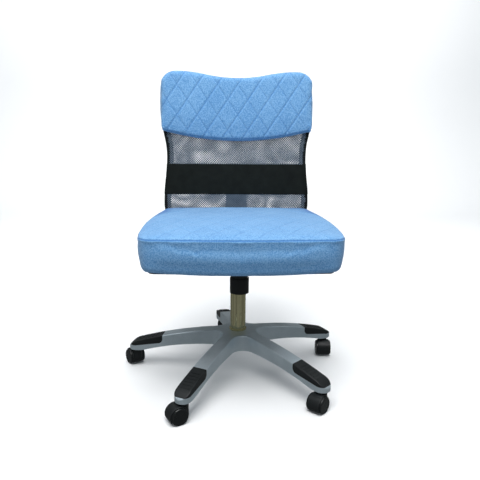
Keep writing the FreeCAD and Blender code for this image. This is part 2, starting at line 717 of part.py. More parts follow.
def cone_outside():
    return cone_stretch(CYLINDER_RADIUS, CYLINDER_RADIUS - CONE_LOSS, CONE_LOW, CYLINDER_TOP)


cylinder = fused([upright(CYLINDER_RADIUS, CYLINDER_LOW, CONE_LOW), cone_outside()])
cavity = upright(CYLINDER_RADIUS - CYLINDER_WALL, CYLINDER_LOW + CYLINDER_FLOOR,
                 CYLINDER_TOP - CYLINDER_ROOF)
cylinder = cylinder.cut(cavity)
cylinder = cylinder.cut(upright(ROD_RADIUS + RUNNING, CYLINDER_LOW - 1, CYLINDER_LOW + 20))
cylinder = cylinder.cut(upright(PIN_RADIUS + RUNNING, CYLINDER_TOP - 20, CYLINDER_TOP + 1))
save("gas_cylinder", cylinder)

pin = upright(PIN_RADIUS, PIN_TOP - PIN_LENGTH, PIN_TOP)
pin = pin.makeFillet(PIN_RADIUS * 0.6, [e for e in pin.Edges if e.BoundBox.ZMin > PIN_TOP - 0.1])
save("valve_pin", pin)

# ---------------------------------------------------------------- mechanism
socket_radius = CYLINDER_RADIUS + SOCKET_WALL
socket_top = CYLINDER_TOP - 4
cone_socket = upright(socket_radius, CONE_LOW, socket_top).cut(cone_outside())
save("cone_socket", cone_socket)

sleeve_x = SLEEVE_OFFSET
sleeve = upright(SLEEVE_RADIUS, SLEEVE_LOW, SLEEVE_SHOULDER, sleeve_x)
sleeve_neck = upright(SLEEVE_NECK_RADIUS, SLEEVE_SHOULDER, CHANNEL_LOW, sleeve_x)
sleeve = fused([sleeve, sleeve_neck])
sleeve = sleeve.cut(upright(SLEEVE_RADIUS - SLEEVE_WALL, SLEEVE_LOW - 1,
                            SLEEVE_SHOULDER - SLEEVE_WALL, sleeve_x))
sleeve = sleeve.cut(upright(SLEEVE_NECK_RADIUS - SLEEVE_NECK_WALL, SLEEVE_LOW - 1,
                            CHANNEL_LOW - 3, sleeve_x))
sleeve = sleeve.cut(upright(socket_radius, SLEEVE_LOW - 1, CHANNEL_LOW + 1))
save("column_sleeve", sleeve)


def mech_bolt_places():
    return [(x * MECH_BOLTS_X / 2, MECH_BOLT_MIDDLE_Y + y * MECH_BOLTS_Y / 2)
            for x in (-1, 1) for y in (-1, 1)]


lever_height = PIN_TOP + TOUCH_GAP + LEVER_RADIUS
plate_low = MECH_TOP - MECH_SHEET
plate_y0 = MECH_BOLT_MIDDLE_Y - MECH_PLATE_Y / 2
plate = block(-MECH_PLATE_X / 2, MECH_PLATE_X / 2, plate_y0, plate_y0 + MECH_PLATE_Y,
              plate_low, MECH_TOP)
plate = plate.makeFillet(12, [e for e in plate.Edges if e.BoundBox.ZLength > 1])
channel = block(-CHANNEL_HALF_WIDTH, CHANNEL_HALF_WIDTH, CHANNEL_FRONT, CHANNEL_REAR,
                CHANNEL_LOW, plate_low)
channel = channel.cut(block(-CHANNEL_HALF_WIDTH + MECH_SHEET, CHANNEL_HALF_WIDTH - MECH_SHEET,
                            CHANNEL_FRONT + MECH_SHEET, CHANNEL_REAR + 5,
                            CHANNEL_LOW + MECH_SHEET, plate_low + 5))
housing = fused([plate, channel])
housing = housing.cut(upright(socket_radius, CHANNEL_LOW - 1, CHANNEL_LOW + MECH_SHEET + 1))
slot_high = lever_height + LEVER_RADIUS + 1 + CHANNEL_HALF_WIDTH * math.sin(math.radians(LEVER_ANGLE)) / 2
housing = housing.cut(block(-CHANNEL_HALF_WIDTH - 5, -CHANNEL_HALF_WIDTH + 5, -LEVER_RADIUS - 1,
                            LEVER_RADIUS + 1, lever_height - LEVER_RADIUS - 1, slot_high))
for x, y in mech_bolt_places():
    housing = housing.cut(upright(BOLT_RADIUS, plate_low - 5, MECH_TOP + 1, x, y))
fulcrum_half = CHANNEL_HALF_WIDTH * 0.3
fulcrum_start = V(-LEVER_PIVOT, -fulcrum_half, lever_height)
fulcrum = Part.makeCylinder(FULCRUM_RADIUS, 2 * fulcrum_half, fulcrum_start, V(0, 1, 0))
cheeks = []
for side in (-1, 1):
    middle = side * (fulcrum_half - 1.5)
    cheeks.append(block(-LEVER_PIVOT - 7, -LEVER_PIVOT + 7, middle - 1.5, middle + 1.5,
                        lever_height - 7, plate_low))
housing = fused([housing] + cheeks).cut(fulcrum)
for x in (-BAR_BOLT_X / 2, BAR_BOLT_X / 2):
    for y in BAR_BOLT_Y:
        housing = housing.cut(upright(BOLT_RADIUS, CHANNEL_LOW - 1, CHANNEL_LOW + 5, x, y))
save("mechanism_housing", housing)
save("lever_pivot_pin", fulcrum)

outer_height = lever_height - LEVER_DROP
lever_path = bent_path([
    V(PIN_RADIUS + 5, 0, lever_height),
    V(-CHANNEL_HALF_WIDTH - 8, 0, lever_height),
    V(-CHANNEL_HALF_WIDTH - 46, 0, outer_height),
    V(-LEVER_REACH + 6, 0, outer_height),
], LEVER_BEND)
lever = rod_along(lever_path, LEVER_RADIUS)
hub = Part.makeCylinder(FULCRUM_RADIUS + 3, 12, V(-LEVER_PIVOT, -6, lever_height), V(0, 1, 0))
bore = Part.makeCylinder(FULCRUM_RADIUS + RUNNING, 40, V(-LEVER_PIVOT, -20, lever_height), V(0, 1, 0))
lever = fused([lever, hub]).cut(bore)
save("lever_rod", lever)
paddle = block(-LEVER_REACH, -LEVER_REACH + PADDLE_LENGTH, -PADDLE_WIDTH / 2, PADDLE_WIDTH / 2,
               outer_height - PADDLE_HEIGHT / 2, outer_height + PADDLE_HEIGHT / 2)
paddle = paddle.makeFillet(PADDLE_HEIGHT * 0.4, paddle.Edges)
paddle = paddle.cut(rod_along(lever_path, LEVER_RADIUS))
save("lever_handle", paddle)

# ---------------------------------------------------------------- seat
def seat_plan(inset, height):
    """Seat outline in plan: bowed front, sides widest near the front, round corners."""
    front = SEAT_FRONT
    rear = SEAT_FRONT + SEAT_DEPTH
    widest = front + SEAT_WIDEST
    corner = SEAT_CORNER
    wf = SEAT_FRONT_WIDTH / 2
    ww = SEAT_WIDTH / 2
    wr = SEAT_REAR_WIDTH / 2
    turn = math.sqrt(0.5)
    front_mid = V(wf - corner + corner * turn, front + corner - corner * turn, height)
    rear_mid = V(wr - corner + corner * turn, rear - corner + corner * turn, height)
    right = [
        arc(V(wf - corner, front, height), front_mid, V(wf, front + corner, height)),
        arc(V(wf, front + corner, height), V(ww, widest, height), V(wr, rear - corner, height)),
        arc(V(wr, rear - corner, height), rear_mid, V(wr - corner, rear, height)),
    ]
    left = [mirrored_x(edge) for edge in right]
    front_edge = arc(V(-wf + corner, front, height), V(0, front - SEAT_FRONT_BOW, height),
                     V(wf - corner, front, height))
    rear_edge = arc(V(wr - corner, rear, height), V(0, rear + SEAT_REAR_BOW, height),
                    V(-wr + corner, rear, height))
    wire = Part.Wire(Part.__sortEdges__(right + left + [front_edge, rear_edge]))
    if inset:
        wire = wire.makeOffset2D(-inset, 0, False, False)
    return wire


def seat_layer(low, low_inset, high, high_inset):
    return Part.makeLoft([seat_plan(low_inset, low), seat_plan(high_inset, high)], True, True)


def seat_body():
    """The cushion: sides that tuck in below, and a low crown above the seam."""
    third = SEAT_SIDE_HEIGHT / 3
    layers = [
        (SEAT_LOW, SEAT_TUCK, SEAT_LOW + third * 0.4, SEAT_TUCK * 0.4),
        (SEAT_LOW + third * 0.4, SEAT_TUCK * 0.4, SEAT_LOW + third * 1.4, 1.0),
        (SEAT_LOW + third * 1.4, 1.0, SEAM, 0.0),
        (SEAM, 0.0, SEAM + SEAT_CROWN * 0.45, SEAT_CORNER * 0.5),
        (SEAM + SEAT_CROWN * 0.45, SEAT_CORNER * 0.5, SEAM + SEAT_CROWN, SEAT_CORNER * 2.4),
    ]
    return fused([seat_layer(*layer) for layer in layers])


board_plan = seat_plan(SEAT_TUCK + BOARD_INSET, SEAT_LOW)
board = Part.Face(board_plan).extrude(V(0, 0, BOARD_THICKNESS))
cushion = seat_body().cut(board)
dust_plan = seat_plan(SEAT_TUCK + BOARD_INSET * 0.4, MECH_TOP)
dust_cover = Part.Face(dust_plan).extrude(V(0, 0, DUST_COVER))
bolts = []
tee_nuts = []
bolt_top = BOARD_TOP + 2
for x, y in mech_bolt_places():
    head = hexagon_head(BOLT_HEAD_ACROSS, plate_low - BOLT_HEAD_HEIGHT, plate_low, x, y)
    shank = upright(BOLT_RADIUS, plate_low, bolt_top, x, y)
    bolts.append(fused([head, shank]))
    barrel = upright(TEE_BARREL_RADIUS, SEAT_LOW + 1, BOARD_TOP, x, y)
    tee_flange = upright(TEE_FLANGE_RADIUS, BOARD_TOP, BOARD_TOP + TEE_FLANGE_HEIGHT, x, y)
    tee = fused([barrel, tee_flange])
    tee_nuts.append(tee.cut(shank))
    board = board.cut(barrel).cut(shank)
    dust_cover = dust_cover.cut(shank)
    cushion = cushion.cut(upright(TEE_FLANGE_RADIUS, BOARD_TOP, bolt_top + 0.5, x, y))
save("seat_board", board)
save("seat_cushion", cushion)
save("seat_dust_cover", dust_cover)
save("seat_bolts", Part.makeCompound(bolts))
save("seat_tee_nuts", Part.makeCompound(tee_nuts))


# ---------------------------------------------------------------- back
def back_y(height):
    """y of the back's middle surface, which curves away above and below the waist."""
    rise = height - BACK_WAIST
    return BACK_PLANE + BACK_CURVE - math.sqrt(BACK_CURVE ** 2 - rise ** 2)


def back_slab(front, rear, half_width=400.0):
    """The space between two surfaces that run beside the back's middle surface."""
    low = FRAME_FOOT - 60
    high = FRAME_TOP + 60
    edges = []
    ends = []
    for offset in (-front, rear):
        radius = BACK_CURVE - offset
        points = []
        for height in (low, BACK_WAIST, high):
            rise = height - BACK_WAIST
            depth = BACK_PLANE + BACK_CURVE - math.sqrt(radius ** 2 - rise ** 2)
            points.append(V(-half_width, depth, height))
        edges.append(arc(*points))
        ends.append((points[0], points[-1]))
    edges.append(line(ends[0][0], ends[1][0]))
    edges.append(line(ends[0][1], ends[1][1]))
    side_view = Part.Face(Part.Wire(Part.__sortEdges__(edges)))
    return side_view.extrude(V(2 * half_width, 0, 0))


def eased_arcs(a, b, upright_ends):
    """Two equal tangent arcs from a to b, both ends upright or both level."""
    middle = (a + b) * 0.5
    run = V(0, 0, 1) if upright_ends else V(1, 0, 0)
    side = V(1, 0, 0) if upright_ends else V(0, 0, 1)
    along = (middle - a).dot(run)
    across = (middle - a).dot(side)
    radius = (along ** 2 + across ** 2) / (2 * abs(across))
    half_turn = math.asin(abs(along) / radius) / 2
    step_along = math.copysign(radius * math.sin(half_turn), along)
    step_across = math.copysign(radius * (1 - math.cos(half_turn)), across)
    first = a + run * step_along + side * step_across
    last = b - run * step_along - side * step_across
    return [arc(a, first, middle), arc(middle, last, b)]


def frame_outline(y=0.0):
    """Front view of the frame's centre line: right half, from the foot up to the dip."""
    low = FRAME_LOWER_CORNER
    top = FRAME_CORNER
    turn = math.sqrt(0.5)
    side_low = V(FRAME_FOOT_HALF, y, FRAME_FOOT + low)
    foot_end = V(FRAME_FOOT_HALF - low, y, FRAME_FOOT)
    foot_corner = V(foot_end.x + low * turn, y, side_low.z - low * turn)
    waist = V(FRAME_WAIST_HALF, y, FRAME_WAIST)
    shoulder = V(FRAME_TOP_HALF + top, y, FRAME_SHOULDER)
    side_top = V(shoulder.x, y, FRAME_TOP - top)
    top_start = V(FRAME_TOP_HALF, y, FRAME_TOP)
    top_corner = V(FRAME_TOP_HALF + top * turn, y, side_top.z + top * turn)
    edges = [line(V(0, y, FRAME_FOOT), foot_end), arc(foot_end, foot_corner, side_low)]
    edges += eased_arcs(side_low, waist, True)
    edges += eased_arcs(waist, shoulder, True)
    edges += [line(shoulder, side_top), arc(side_top, top_corner, top_start)]
    edges += eased_arcs(top_start, V(0, y, FRAME_DIP), False)
    return edges


def front_prism(outward):
    """The whole back's front view, moved outwards, as a prism through the back."""
    y = BACK_PLANE - 100
    right = frame_outline(y)
    left = [mirrored_x(edge) for edge in right]
    wire = Part.Wire(Part.__sortEdges__(right + left))
    if outward:
        wire = wire.makeOffset2D(outward, 0, False, False)
    return Part.Face(wire).extrude(V(0, 300, 0))


def on_back(point):
    return V(point.x, back_y(point.z), point.z)


def frame_tube(radius):
    """The bent tube of the back frame: two halves that meet in the middle plane."""
    points = []
    for edge in frame_outline():
        count = max(6, int(edge.Length / FRAME_SAMPLE))
        samples = edge.discretize(count + 1)
        if points and (samples[0] - points[-1]).Length > 0.01:
            samples.reverse()
        points += samples if not points else samples[1:]
    path = Part.BSplineCurve()
    path.interpolate(Points=[on_back(p) for p in points],
                     InitialTangent=V(1, 0, 0), FinalTangent=V(-1, 0, 0))
    half = rod_along(Part.Wire(path.toShape()), radius)
    return half.fuse(mirrored_x(half)).removeSplitter().Shells[0]


def frame_bolt_places():
    return [(x * BAR_BOLT_X / 2, height) for height in CROSSBAR_HEIGHTS for x in (-1, 1)]


bar_front = back_y(BAR_TOP) + BAND_OUT + 1.2
bar_rear = bar_front + BAR_THICKNESS


def crossbar(height):
    """A flat bar between the tube's sides, near its rear, its ends up to the weld."""
    low = height - CROSSBAR_WIDTH / 2
    slab = back_slab(-FRAME_TUBE + CROSSBAR_THICKNESS, FRAME_TUBE)
    half_chord = math.sqrt(FRAME_TUBE ** 2 - (FRAME_TUBE - CROSSBAR_THICKNESS) ** 2)
    strip = slab.common(block(-230, 230, 0, 400, low, low + CROSSBAR_WIDTH))
    return strip.common(front_prism(-half_chord - WELD_GAP))


def frame_bolts():
    shapes = []
    for x, height in frame_bolt_places():
        start = back_y(height) + FRAME_TUBE - CROSSBAR_THICKNESS - 3
        shank = Part.makeCylinder(FRAME_BOLT_RADIUS, bar_rear - start, V(x, start, height), V(0, 1, 0))
        head = Part.makeCylinder(FRAME_BOLT_HEAD, FRAME_BOLT_HEAD_HEIGHT, V(x, bar_rear, height), V(0, 1, 0))
        shapes.append(fused([shank, head]))
    return shapes


back_bolts = frame_bolts()
bolt_cut = Part.makeCompound(back_bolts)
tube_outside_shell = frame_tube(FRAME_TUBE)
tube_inside_shell = frame_tube(FRAME_TUBE - FRAME_TUBE_WALL).reversed()
bent_tube = Part.makeSolid(Part.makeCompound([tube_outside_shell, tube_inside_shell]))
crossbars = [crossbar(height).cut(bolt_cut) for height in CROSSBAR_HEIGHTS]
save("back_frame", Part.makeCompound([bent_tube] + crossbars))
save("back_frame_bolts", Part.makeCompound(back_bolts))


def back_shell(outer, inner, low, high):
    """A flat tube round the frame, between two heights, rounded at its edges."""
    outside = rounded_back(outer)
    inside = rounded_back(inner)
    limits = block(-300, 300, 0, 500, low, high)
    return outside.cut(inside).common(limits)


def rounded_back(outward):
    body = back_slab(outward, outward).common(front_prism(outward))
    rim = []
    for edge in body.Edges:
        middle = edge.valueAt((edge.FirstParameter + edge.LastParameter) / 2)
        depth = abs(math.hypot(middle.y - BACK_PLANE - BACK_CURVE, middle.z - BACK_WAIST) - BACK_CURVE)
        if depth > outward - 0.05:
            rim.append(edge)
    return body.makeFillet(outward * 0.93, rim)


mesh_inner = FRAME_TUBE + MESH_GAP
mesh_sleeve = back_shell(MESH_OUT, mesh_inner, FRAME_FOOT - FRAME_TUBE + 1, FRAME_TOP + 100)
mesh_sleeve = mesh_sleeve.cut(bolt_cut)
save("mesh_sleeve", mesh_sleeve)
band = back_shell(BAND_OUT, MESH_OUT, BAND_LOW, BAND_HIGH).cut(bolt_cut)
save("lumbar_band", band)

pad_body = back_slab(MESH_OUT + PAD_FRONT, MESH_OUT + PAD_REAR).common(front_prism(MESH_OUT + PAD_RIM))
wide = FRAME_TOP_HALF + FRAME_CORNER + MESH_OUT + PAD_RIM
above = Part.Face(Part.Wire([
    arc(V(-wide, 0, PAD_LOW_SIDE), V(0, 0, PAD_LOW_MIDDLE), V(wide, 0, PAD_LOW_SIDE)),
    line(V(wide, 0, PAD_LOW_SIDE), V(wide, 0, FRAME_TOP + 80)),
    line(V(wide, 0, FRAME_TOP + 80), V(-wide, 0, FRAME_TOP + 80)),
    line(V(-wide, 0, FRAME_TOP + 80), V(-wide, 0, PAD_LOW_SIDE)),
])).extrude(V(0, 500, 0))
pad = pad_body.common(above).cut(rounded_back(MESH_OUT))
save("back_pad", pad)

# ---------------------------------------------------------------- back support bar
bar_low = CHANNEL_LOW + MECH_SHEET
bend_out = BAR_BEND + BAR_THICKNESS
turn = math.sqrt(0.5)
corner_y = bar_front - BAR_BEND
corner_z = bar_low + bend_out
bar_side = Part.Face(Part.Wire([
    line(V(0, BAR_START, bar_low), V(0, corner_y, bar_low)),
    arc(V(0, corner_y, bar_low),
        V(0, corner_y + bend_out * turn, corner_z - bend_out * turn),
        V(0, bar_rear, corner_z)),
    line(V(0, bar_rear, corner_z), V(0, bar_rear, BAR_TOP)),
    line(V(0, bar_rear, BAR_TOP), V(0, bar_front, BAR_TOP)),
    line(V(0, bar_front, BAR_TOP), V(0, bar_front, corner_z)),
    arc(V(0, bar_front, corner_z),
        V(0, corner_y + BAR_BEND * turn, corner_z - BAR_BEND * turn),
        V(0, corner_y, bar_low + BAR_THICKNESS)),
    line(V(0, corner_y, bar_low + BAR_THICKNESS), V(0, BAR_START, bar_low + BAR_THICKNESS)),
    line(V(0, BAR_START, bar_low + BAR_THICKNESS), V(0, BAR_START, bar_low)),
]))
bar = moved(bar_side, x=-BAR_WIDTH / 2).extrude(V(BAR_WIDTH, 0, 0)).cut(bolt_cut)
bar_bolts = []
bar_nuts = []
bar_top_face = bar_low + BAR_THICKNESS
for x in (-BAR_BOLT_X / 2, BAR_BOLT_X / 2):
    for y in BAR_BOLT_Y:
        head = hexagon_head(BOLT_HEAD_ACROSS, CHANNEL_LOW - BOLT_HEAD_HEIGHT, CHANNEL_LOW, x, y)
        shank = upright(BOLT_RADIUS, CHANNEL_LOW, bar_top_face + 9, x, y)
        bar_bolts.append(fused([head, shank]))
        nut = hexagon_head(BOLT_HEAD_ACROSS, bar_top_face, bar_top_face + 6.5, x, y)
        bar_nuts.append(nut.cut(shank))
        bar = bar.cut(shank)
save("back_bar", bar)
save("back_bar_bolts", Part.makeCompound(bar_bolts))
save("back_bar_nuts", Part.makeCompound(bar_nuts))

cover_half = BAR_WIDTH / 2 + TOUCH_GAP + BAR_COVER_WALL
cover_front = back_y(FRAME_FOOT - FRAME_TUBE) + BAND_OUT + TOUCH_GAP
cover_top = BAR_TOP + TOUCH_GAP + BAR_COVER_WALL + 4
cover = block(-cover_half, cover_half, cover_front, cover_front + BAR_COVER_DEPTH,
              BAR_COVER_LOW, cover_top)
rear_edges = [e for e in cover.Edges
              if e.BoundBox.YMin > cover_front + BAR_COVER_DEPTH - 0.1]
cover = cover.makeFillet(6, rear_edges)
inner_half = cover_half - BAR_COVER_WALL
room = block(-inner_half, inner_half, bar_front - TOUCH_GAP,
             cover_front + BAR_COVER_DEPTH - BAR_COVER_WALL, BAR_COVER_LOW - 1,
             cover_top - BAR_COVER_WALL)
front_gap = block(-300, 300, 0, bar_front + 0.5, BAND_LOW - 6, cover_top + 1)
cover = cover.cut(room).cut(front_gap)
save("back_bar_cover", cover)
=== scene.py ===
# %% [markdown]
# # Dressing a swivel office chair
# The chair's hard parts, with their real sizes and joints, come ready made as a fixed frame.
# Here that frame gets its finishes, and the soft parts that make a chair look like a chair:
# a padded seat, a quilted hood over the back, two layers of net and a ribbed waist band.

# %% Load the frame
import math

import bmesh
import bpy
from mathutils import Matrix, Vector, noise
from mathutils.bvhtree import BVHTree


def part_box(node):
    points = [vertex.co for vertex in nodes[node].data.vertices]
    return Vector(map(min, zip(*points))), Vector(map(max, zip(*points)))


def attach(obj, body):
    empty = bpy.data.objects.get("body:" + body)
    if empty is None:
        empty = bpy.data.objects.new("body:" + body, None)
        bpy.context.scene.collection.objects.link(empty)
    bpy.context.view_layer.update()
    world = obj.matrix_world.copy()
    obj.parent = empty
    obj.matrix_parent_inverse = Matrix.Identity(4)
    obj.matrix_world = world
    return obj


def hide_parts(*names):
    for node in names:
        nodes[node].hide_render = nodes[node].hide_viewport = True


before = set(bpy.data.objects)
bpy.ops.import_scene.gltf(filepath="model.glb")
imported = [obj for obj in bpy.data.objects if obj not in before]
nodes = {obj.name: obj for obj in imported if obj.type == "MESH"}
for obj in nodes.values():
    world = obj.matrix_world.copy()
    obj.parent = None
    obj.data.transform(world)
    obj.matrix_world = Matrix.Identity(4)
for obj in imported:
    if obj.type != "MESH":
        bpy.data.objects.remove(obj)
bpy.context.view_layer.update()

MM = 0.001

# %% [markdown]
# ## Arithmetic on a finish
# A finish is a small network of nodes. Written by hand it is long and hard to read, so a small
# class wraps one socket and lets Python's own signs add the Math nodes: (x - 2) * 3 is two nodes.
# The alternative is to build each node in the editor, but then nobody can see the formula.

# %% A value that changes over the surface
class Value:
    """One output socket, with arithmetic that adds Math nodes."""

    def __init__(self, finish, socket):
        self.finish = finish
        self.socket = socket

    def math(self, operation, *others):
        inputs = dict(enumerate((self,) + others))
        return self.finish.add("ShaderNodeMath", {"operation": operation}, inputs)

    def __add__(self, other):
        return self.math("ADD", other)

    def __radd__(self, other):
        return self.math("ADD", other)

    def __sub__(self, other):
        return self.math("SUBTRACT", other)

    def __rsub__(self, other):
        return self.finish.add("ShaderNodeMath", {"operation": "SUBTRACT"}, {0: other, 1: self})

    def __mul__(self, other):
        return self.math("MULTIPLY", other)

    def __rmul__(self, other):
        return self.math("MULTIPLY", other)

    def __truediv__(self, other):
        return self.math("DIVIDE", other)

    def __abs__(self):
        return self.math("ABSOLUTE")

    def part(self):
        """What is left of the value after its whole number."""
        return self.math("FRACT")

    def most(self, other):
        return self.math("MAXIMUM", other)

    def ease(self, low, high, start=0.0, end=1.0):
        """Goes smoothly from start to end as the value goes from low to high."""
        settings = {"interpolation_type": "SMOOTHSTEP"}
        ends = {"From Min": low, "From Max": high, "To Min": start, "To Max": end}
        return self.finish.add("ShaderNodeMapRange", settings, {"Value": self, **ends})


# %% A finish, which holds the network
class Finish:
    """One material: a shader with fixed values, and what varies over the surface."""

    def __init__(self, name, **fixed):
        self.material = bpy.data.materials.new(name)
        self.material.use_nodes = True
        self.tree = self.material.node_tree
        self.shader = self.tree.nodes["Principled BSDF"]
        for socket, value in fixed.items():
            self.shader.inputs[socket.replace("_", " ")].default_value = value
        self.place = self.add("ShaderNodeTexCoord", output="Object")
        split = self.add("ShaderNodeSeparateXYZ", inputs={0: self.place}).socket.node
        self.x, self.y, self.z = [Value(self, socket) for socket in split.outputs]

    def add(self, kind, settings=None, inputs=None, output=0):
        node = self.tree.nodes.new(kind)
        for name, setting in (settings or {}).items():
            setattr(node, name, setting)
        for name, value in (inputs or {}).items():
            self.join(value, node.inputs[name])
        return Value(self, node.outputs[output])

    def join(self, value, socket):
        if isinstance(value, Value):
            self.tree.links.new(value.socket, socket)
        else:
            socket.default_value = value

    def vary(self, socket, value):
        self.join(value, self.shader.inputs[socket])

    def noise(self, scale, detail=2.0, stretch=None):
        where = self.place
        if stretch:
            where = self.add("ShaderNodeMapping", inputs={"Vector": where, "Scale": stretch})
        return self.add("ShaderNodeTexNoise", inputs={"Vector": where, "Scale": scale, "Detail": detail})

    def grains(self, scale):
        return self.add("ShaderNodeTexVoronoi", inputs={"Vector": self.place, "Scale": scale})

    def between(self, share, first, second):
        """A colour between two, by a share from 0 to 1."""
        return self.add("ShaderNodeMix", {"data_type": "RGBA"}, {0: share, 6: first, 7: second}, output=2)

    def bump(self, height, depth):
        """Raises the surface by depth metres where height is 1."""
        inputs = {"Height": height, "Distance": depth, "Strength": 1.0}
        self.vary("Normal", self.add("ShaderNodeBump", inputs=inputs))


def tint(red, green, blue):
    """A colour as a paint chart gives it, 0 to 255, turned into light."""
    shares = [channel / 255 for channel in (red, green, blue)]
    light = [s / 12.92 if s <= 0.04045 else ((s + 0.055) / 1.055) ** 2.4 for s in shares]
    return (*light, 1.0)


print("finishes are written with", Value.__name__, "and", Finish.__name__)

# %% [markdown]
# ## The quilting's lattice
# The blue cloth is quilted in tall diamonds: two families of slanting seams that cross.
# The same lattice sinks channels into the padding and, in the finish, colours the stitching and paints the
# channels' shade, so its sizes are written once. A picture of quilting could do the colour, but not the channels.

# %% Lattice sizes
DIAMOND_WIDTH = 59.5 * MM
DIAMOND_HEIGHT = 87.5 * MM
SEAM_SPACING = DIAMOND_WIDTH * DIAMOND_HEIGHT / math.hypot(DIAMOND_WIDTH, DIAMOND_HEIGHT)
seam_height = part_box("seat_cushion")[0].z + 86 * MM
HOOD_CROSSING = (31.5 * MM, seam_height + 318.6 * MM)
SEAT_CROSSING = (31.6 * MM, -245.0 * MM)


def slants(across, along, crossing):
    """Place across the two families of seams, whole at each seam. Works on numbers and on Values."""
    side = (across - crossing[0]) / DIAMOND_WIDTH
    rise = (along - crossing[1]) / DIAMOND_HEIGHT
    return side - rise, side + rise


def from_seam(slant):
    """Distance in metres to the nearest seam of a family."""
    part = slant.part() if isinstance(slant, Value) else slant % 1.0
    return (0.5 - abs(part - 0.5)) * SEAM_SPACING


print("the seams of one family are", round(SEAM_SPACING / MM, 1), "mm apart")

# %% [markdown]
# ## Upholstery cloth
# The cover is a melange weave: light and dark blue yarns twisted together, so from near it is
# speckled and from afar it is one soft blue. Two sizes of noise mix the yarns' colours, and small
# grains give the weave its relief. A little sheen stands for the fibres that catch the light.

# %% Melange cloth
YARN_DARK = tint(82, 133, 183)
YARN_LIGHT = tint(123, 168, 208)
# The blue that seams darken towards: the stitching's colour, and painted shade in the sunk channels.
STITCH_AND_SHADE_BLUE = tint(44, 98, 160)
BACK_WAIST = seam_height + 31 * MM
BACK_CURVE = 1.6
WAIST_Y = 212 * MM


def melange(name):
    cloth = Finish(name, Roughness=0.9, Sheen_Weight=0.3, Sheen_Roughness=0.45, Specular_IOR_Level=0.15)
    flecks = cloth.noise(360, 3.0)
    yarn = cloth.noise(1300, 1.0)
    broad = cloth.noise(16, 2.0)
    share = (flecks * 0.65 + yarn * 0.25 + broad * 0.1).ease(0.39, 0.61)
    colour = cloth.between(share, YARN_DARK, YARN_LIGHT)
    relief = (1 - cloth.grains(1150)) * 0.6 + yarn * 0.4
    return cloth, colour, relief


def quilted(name, along, crossing, strength, shown, hem):
    """Melange cloth with the lattice's stitching, and painted shade in its channels, where shown is 1, and a dark
    line of painted shade along a sewn line where hem is 1.
    """
    cloth, colour, relief = melange(name)
    leaning, falling = slants(cloth.x, along(cloth), crossing)
    crease_and_shade = from_seam(leaning).ease(0.5 * MM, 2.2 * MM, strength, 0.0)
    crease_and_shade = crease_and_shade.most(from_seam(falling).ease(0.5 * MM, 2.0 * MM, strength * 0.7, 0.0)) * shown(cloth)
    crease_and_shade = crease_and_shade.most(hem(cloth))
    # Darkens the cloth along the seams: stitching, and painted shade in the sunk channels.
    cloth.vary("Base Color", cloth.between(crease_and_shade, colour, STITCH_AND_SHADE_BLUE))
    cloth.bump(relief - crease_and_shade * 1.6, 0.35 * MM)
    return cloth.material


def in_front(cloth):
    """1 on the front of the back, whose side view is a shallow curve."""
    rise = cloth.z - BACK_WAIST
    depth = cloth.y - (rise * rise) / (2 * BACK_CURVE)
    return depth.ease(WAIST_Y - 6 * MM, WAIST_Y + 2 * MM, 1.0, 0.0)


HEM_STITCH = 6.5 * MM
HEM_RISE = 31 * MM
hem_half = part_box("back_pad")[1].x
hem_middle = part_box("back_pad")[0].z


def hem_line(cloth):
    """A dark line a little above the hood's curved lower edge: the hem's stitching, with painted shade in its sunk
    groove.
    """
    share = cloth.x / hem_half
    above = cloth.z - share * share * HEM_RISE - (hem_middle + HEM_STITCH)
    return abs(above).ease(0.3 * MM, 1.3 * MM, 0.45, 0.0)


def seam_shade_line(cloth):
    """A dark line where the seat's top is sewn to its band: painted shade in the seam's groove."""
    return abs(cloth.z - seam_height).ease(0.5 * MM, 1.8 * MM, 0.8, 0.0)


hood_cloth = quilted("hood_cloth", lambda cloth: cloth.z, HOOD_CROSSING, 0.32, in_front, hem_line)
seat_cloth = quilted("seat_cloth", lambda cloth: cloth.y, SEAT_CROSSING, 0.22,
                     lambda cloth: cloth.z.ease(seam_height + 1 * MM, seam_height + 3 * MM), seam_shade_line)
print("cloths:", hood_cloth.name, seat_cloth.name)

# %% Plain cloth for the welts, and thread
def plain_cloth():
    cloth, colour, relief = melange("welt_cloth")
    cloth.vary("Base Color", colour)
    cloth.bump(relief, 0.35 * MM)
    return cloth.material


def thread_finish():
    thread = Finish("sewing_thread", Roughness=0.6, Sheen_Weight=0.3)
    twist = thread.noise(2600, 1.0)
    thread.vary("Base Color", thread.between(twist, tint(70, 128, 186), tint(112, 166, 214)))
    thread.bump(twist, 0.1 * MM)
    return thread.material


welt_cloth = plain_cloth()
sewing_thread = thread_finish()

# %% [markdown]
# ## Hard finishes
# Each moulded, painted or plated surface differs from a flat colour in a small way: paint has
# flakes and orange peel, plastic a fine spark grain, chrome faint polishing marks. One function
# per finish keeps these differences readable, and the sizes are real ones.

# %% Painted and plated metal
def silver_paint():
    paint = Finish("silver_lacquer", Metallic=0.72, Coat_Weight=0.2, Coat_Roughness=0.25)
    flakes = paint.noise(3800, 1.0)
    cloudy = paint.noise(22, 2.0)
    share = (flakes * 0.6 + cloudy * 0.4).ease(0.3, 0.7)
    paint.vary("Base Color", paint.between(share, tint(190, 203, 210), tint(216, 227, 234)))
    paint.vary("Roughness", cloudy.ease(0.3, 0.7, 0.3, 0.38))
    paint.bump(paint.noise(260, 2.0) + flakes * 0.2, 0.006 * MM)
    return paint.material


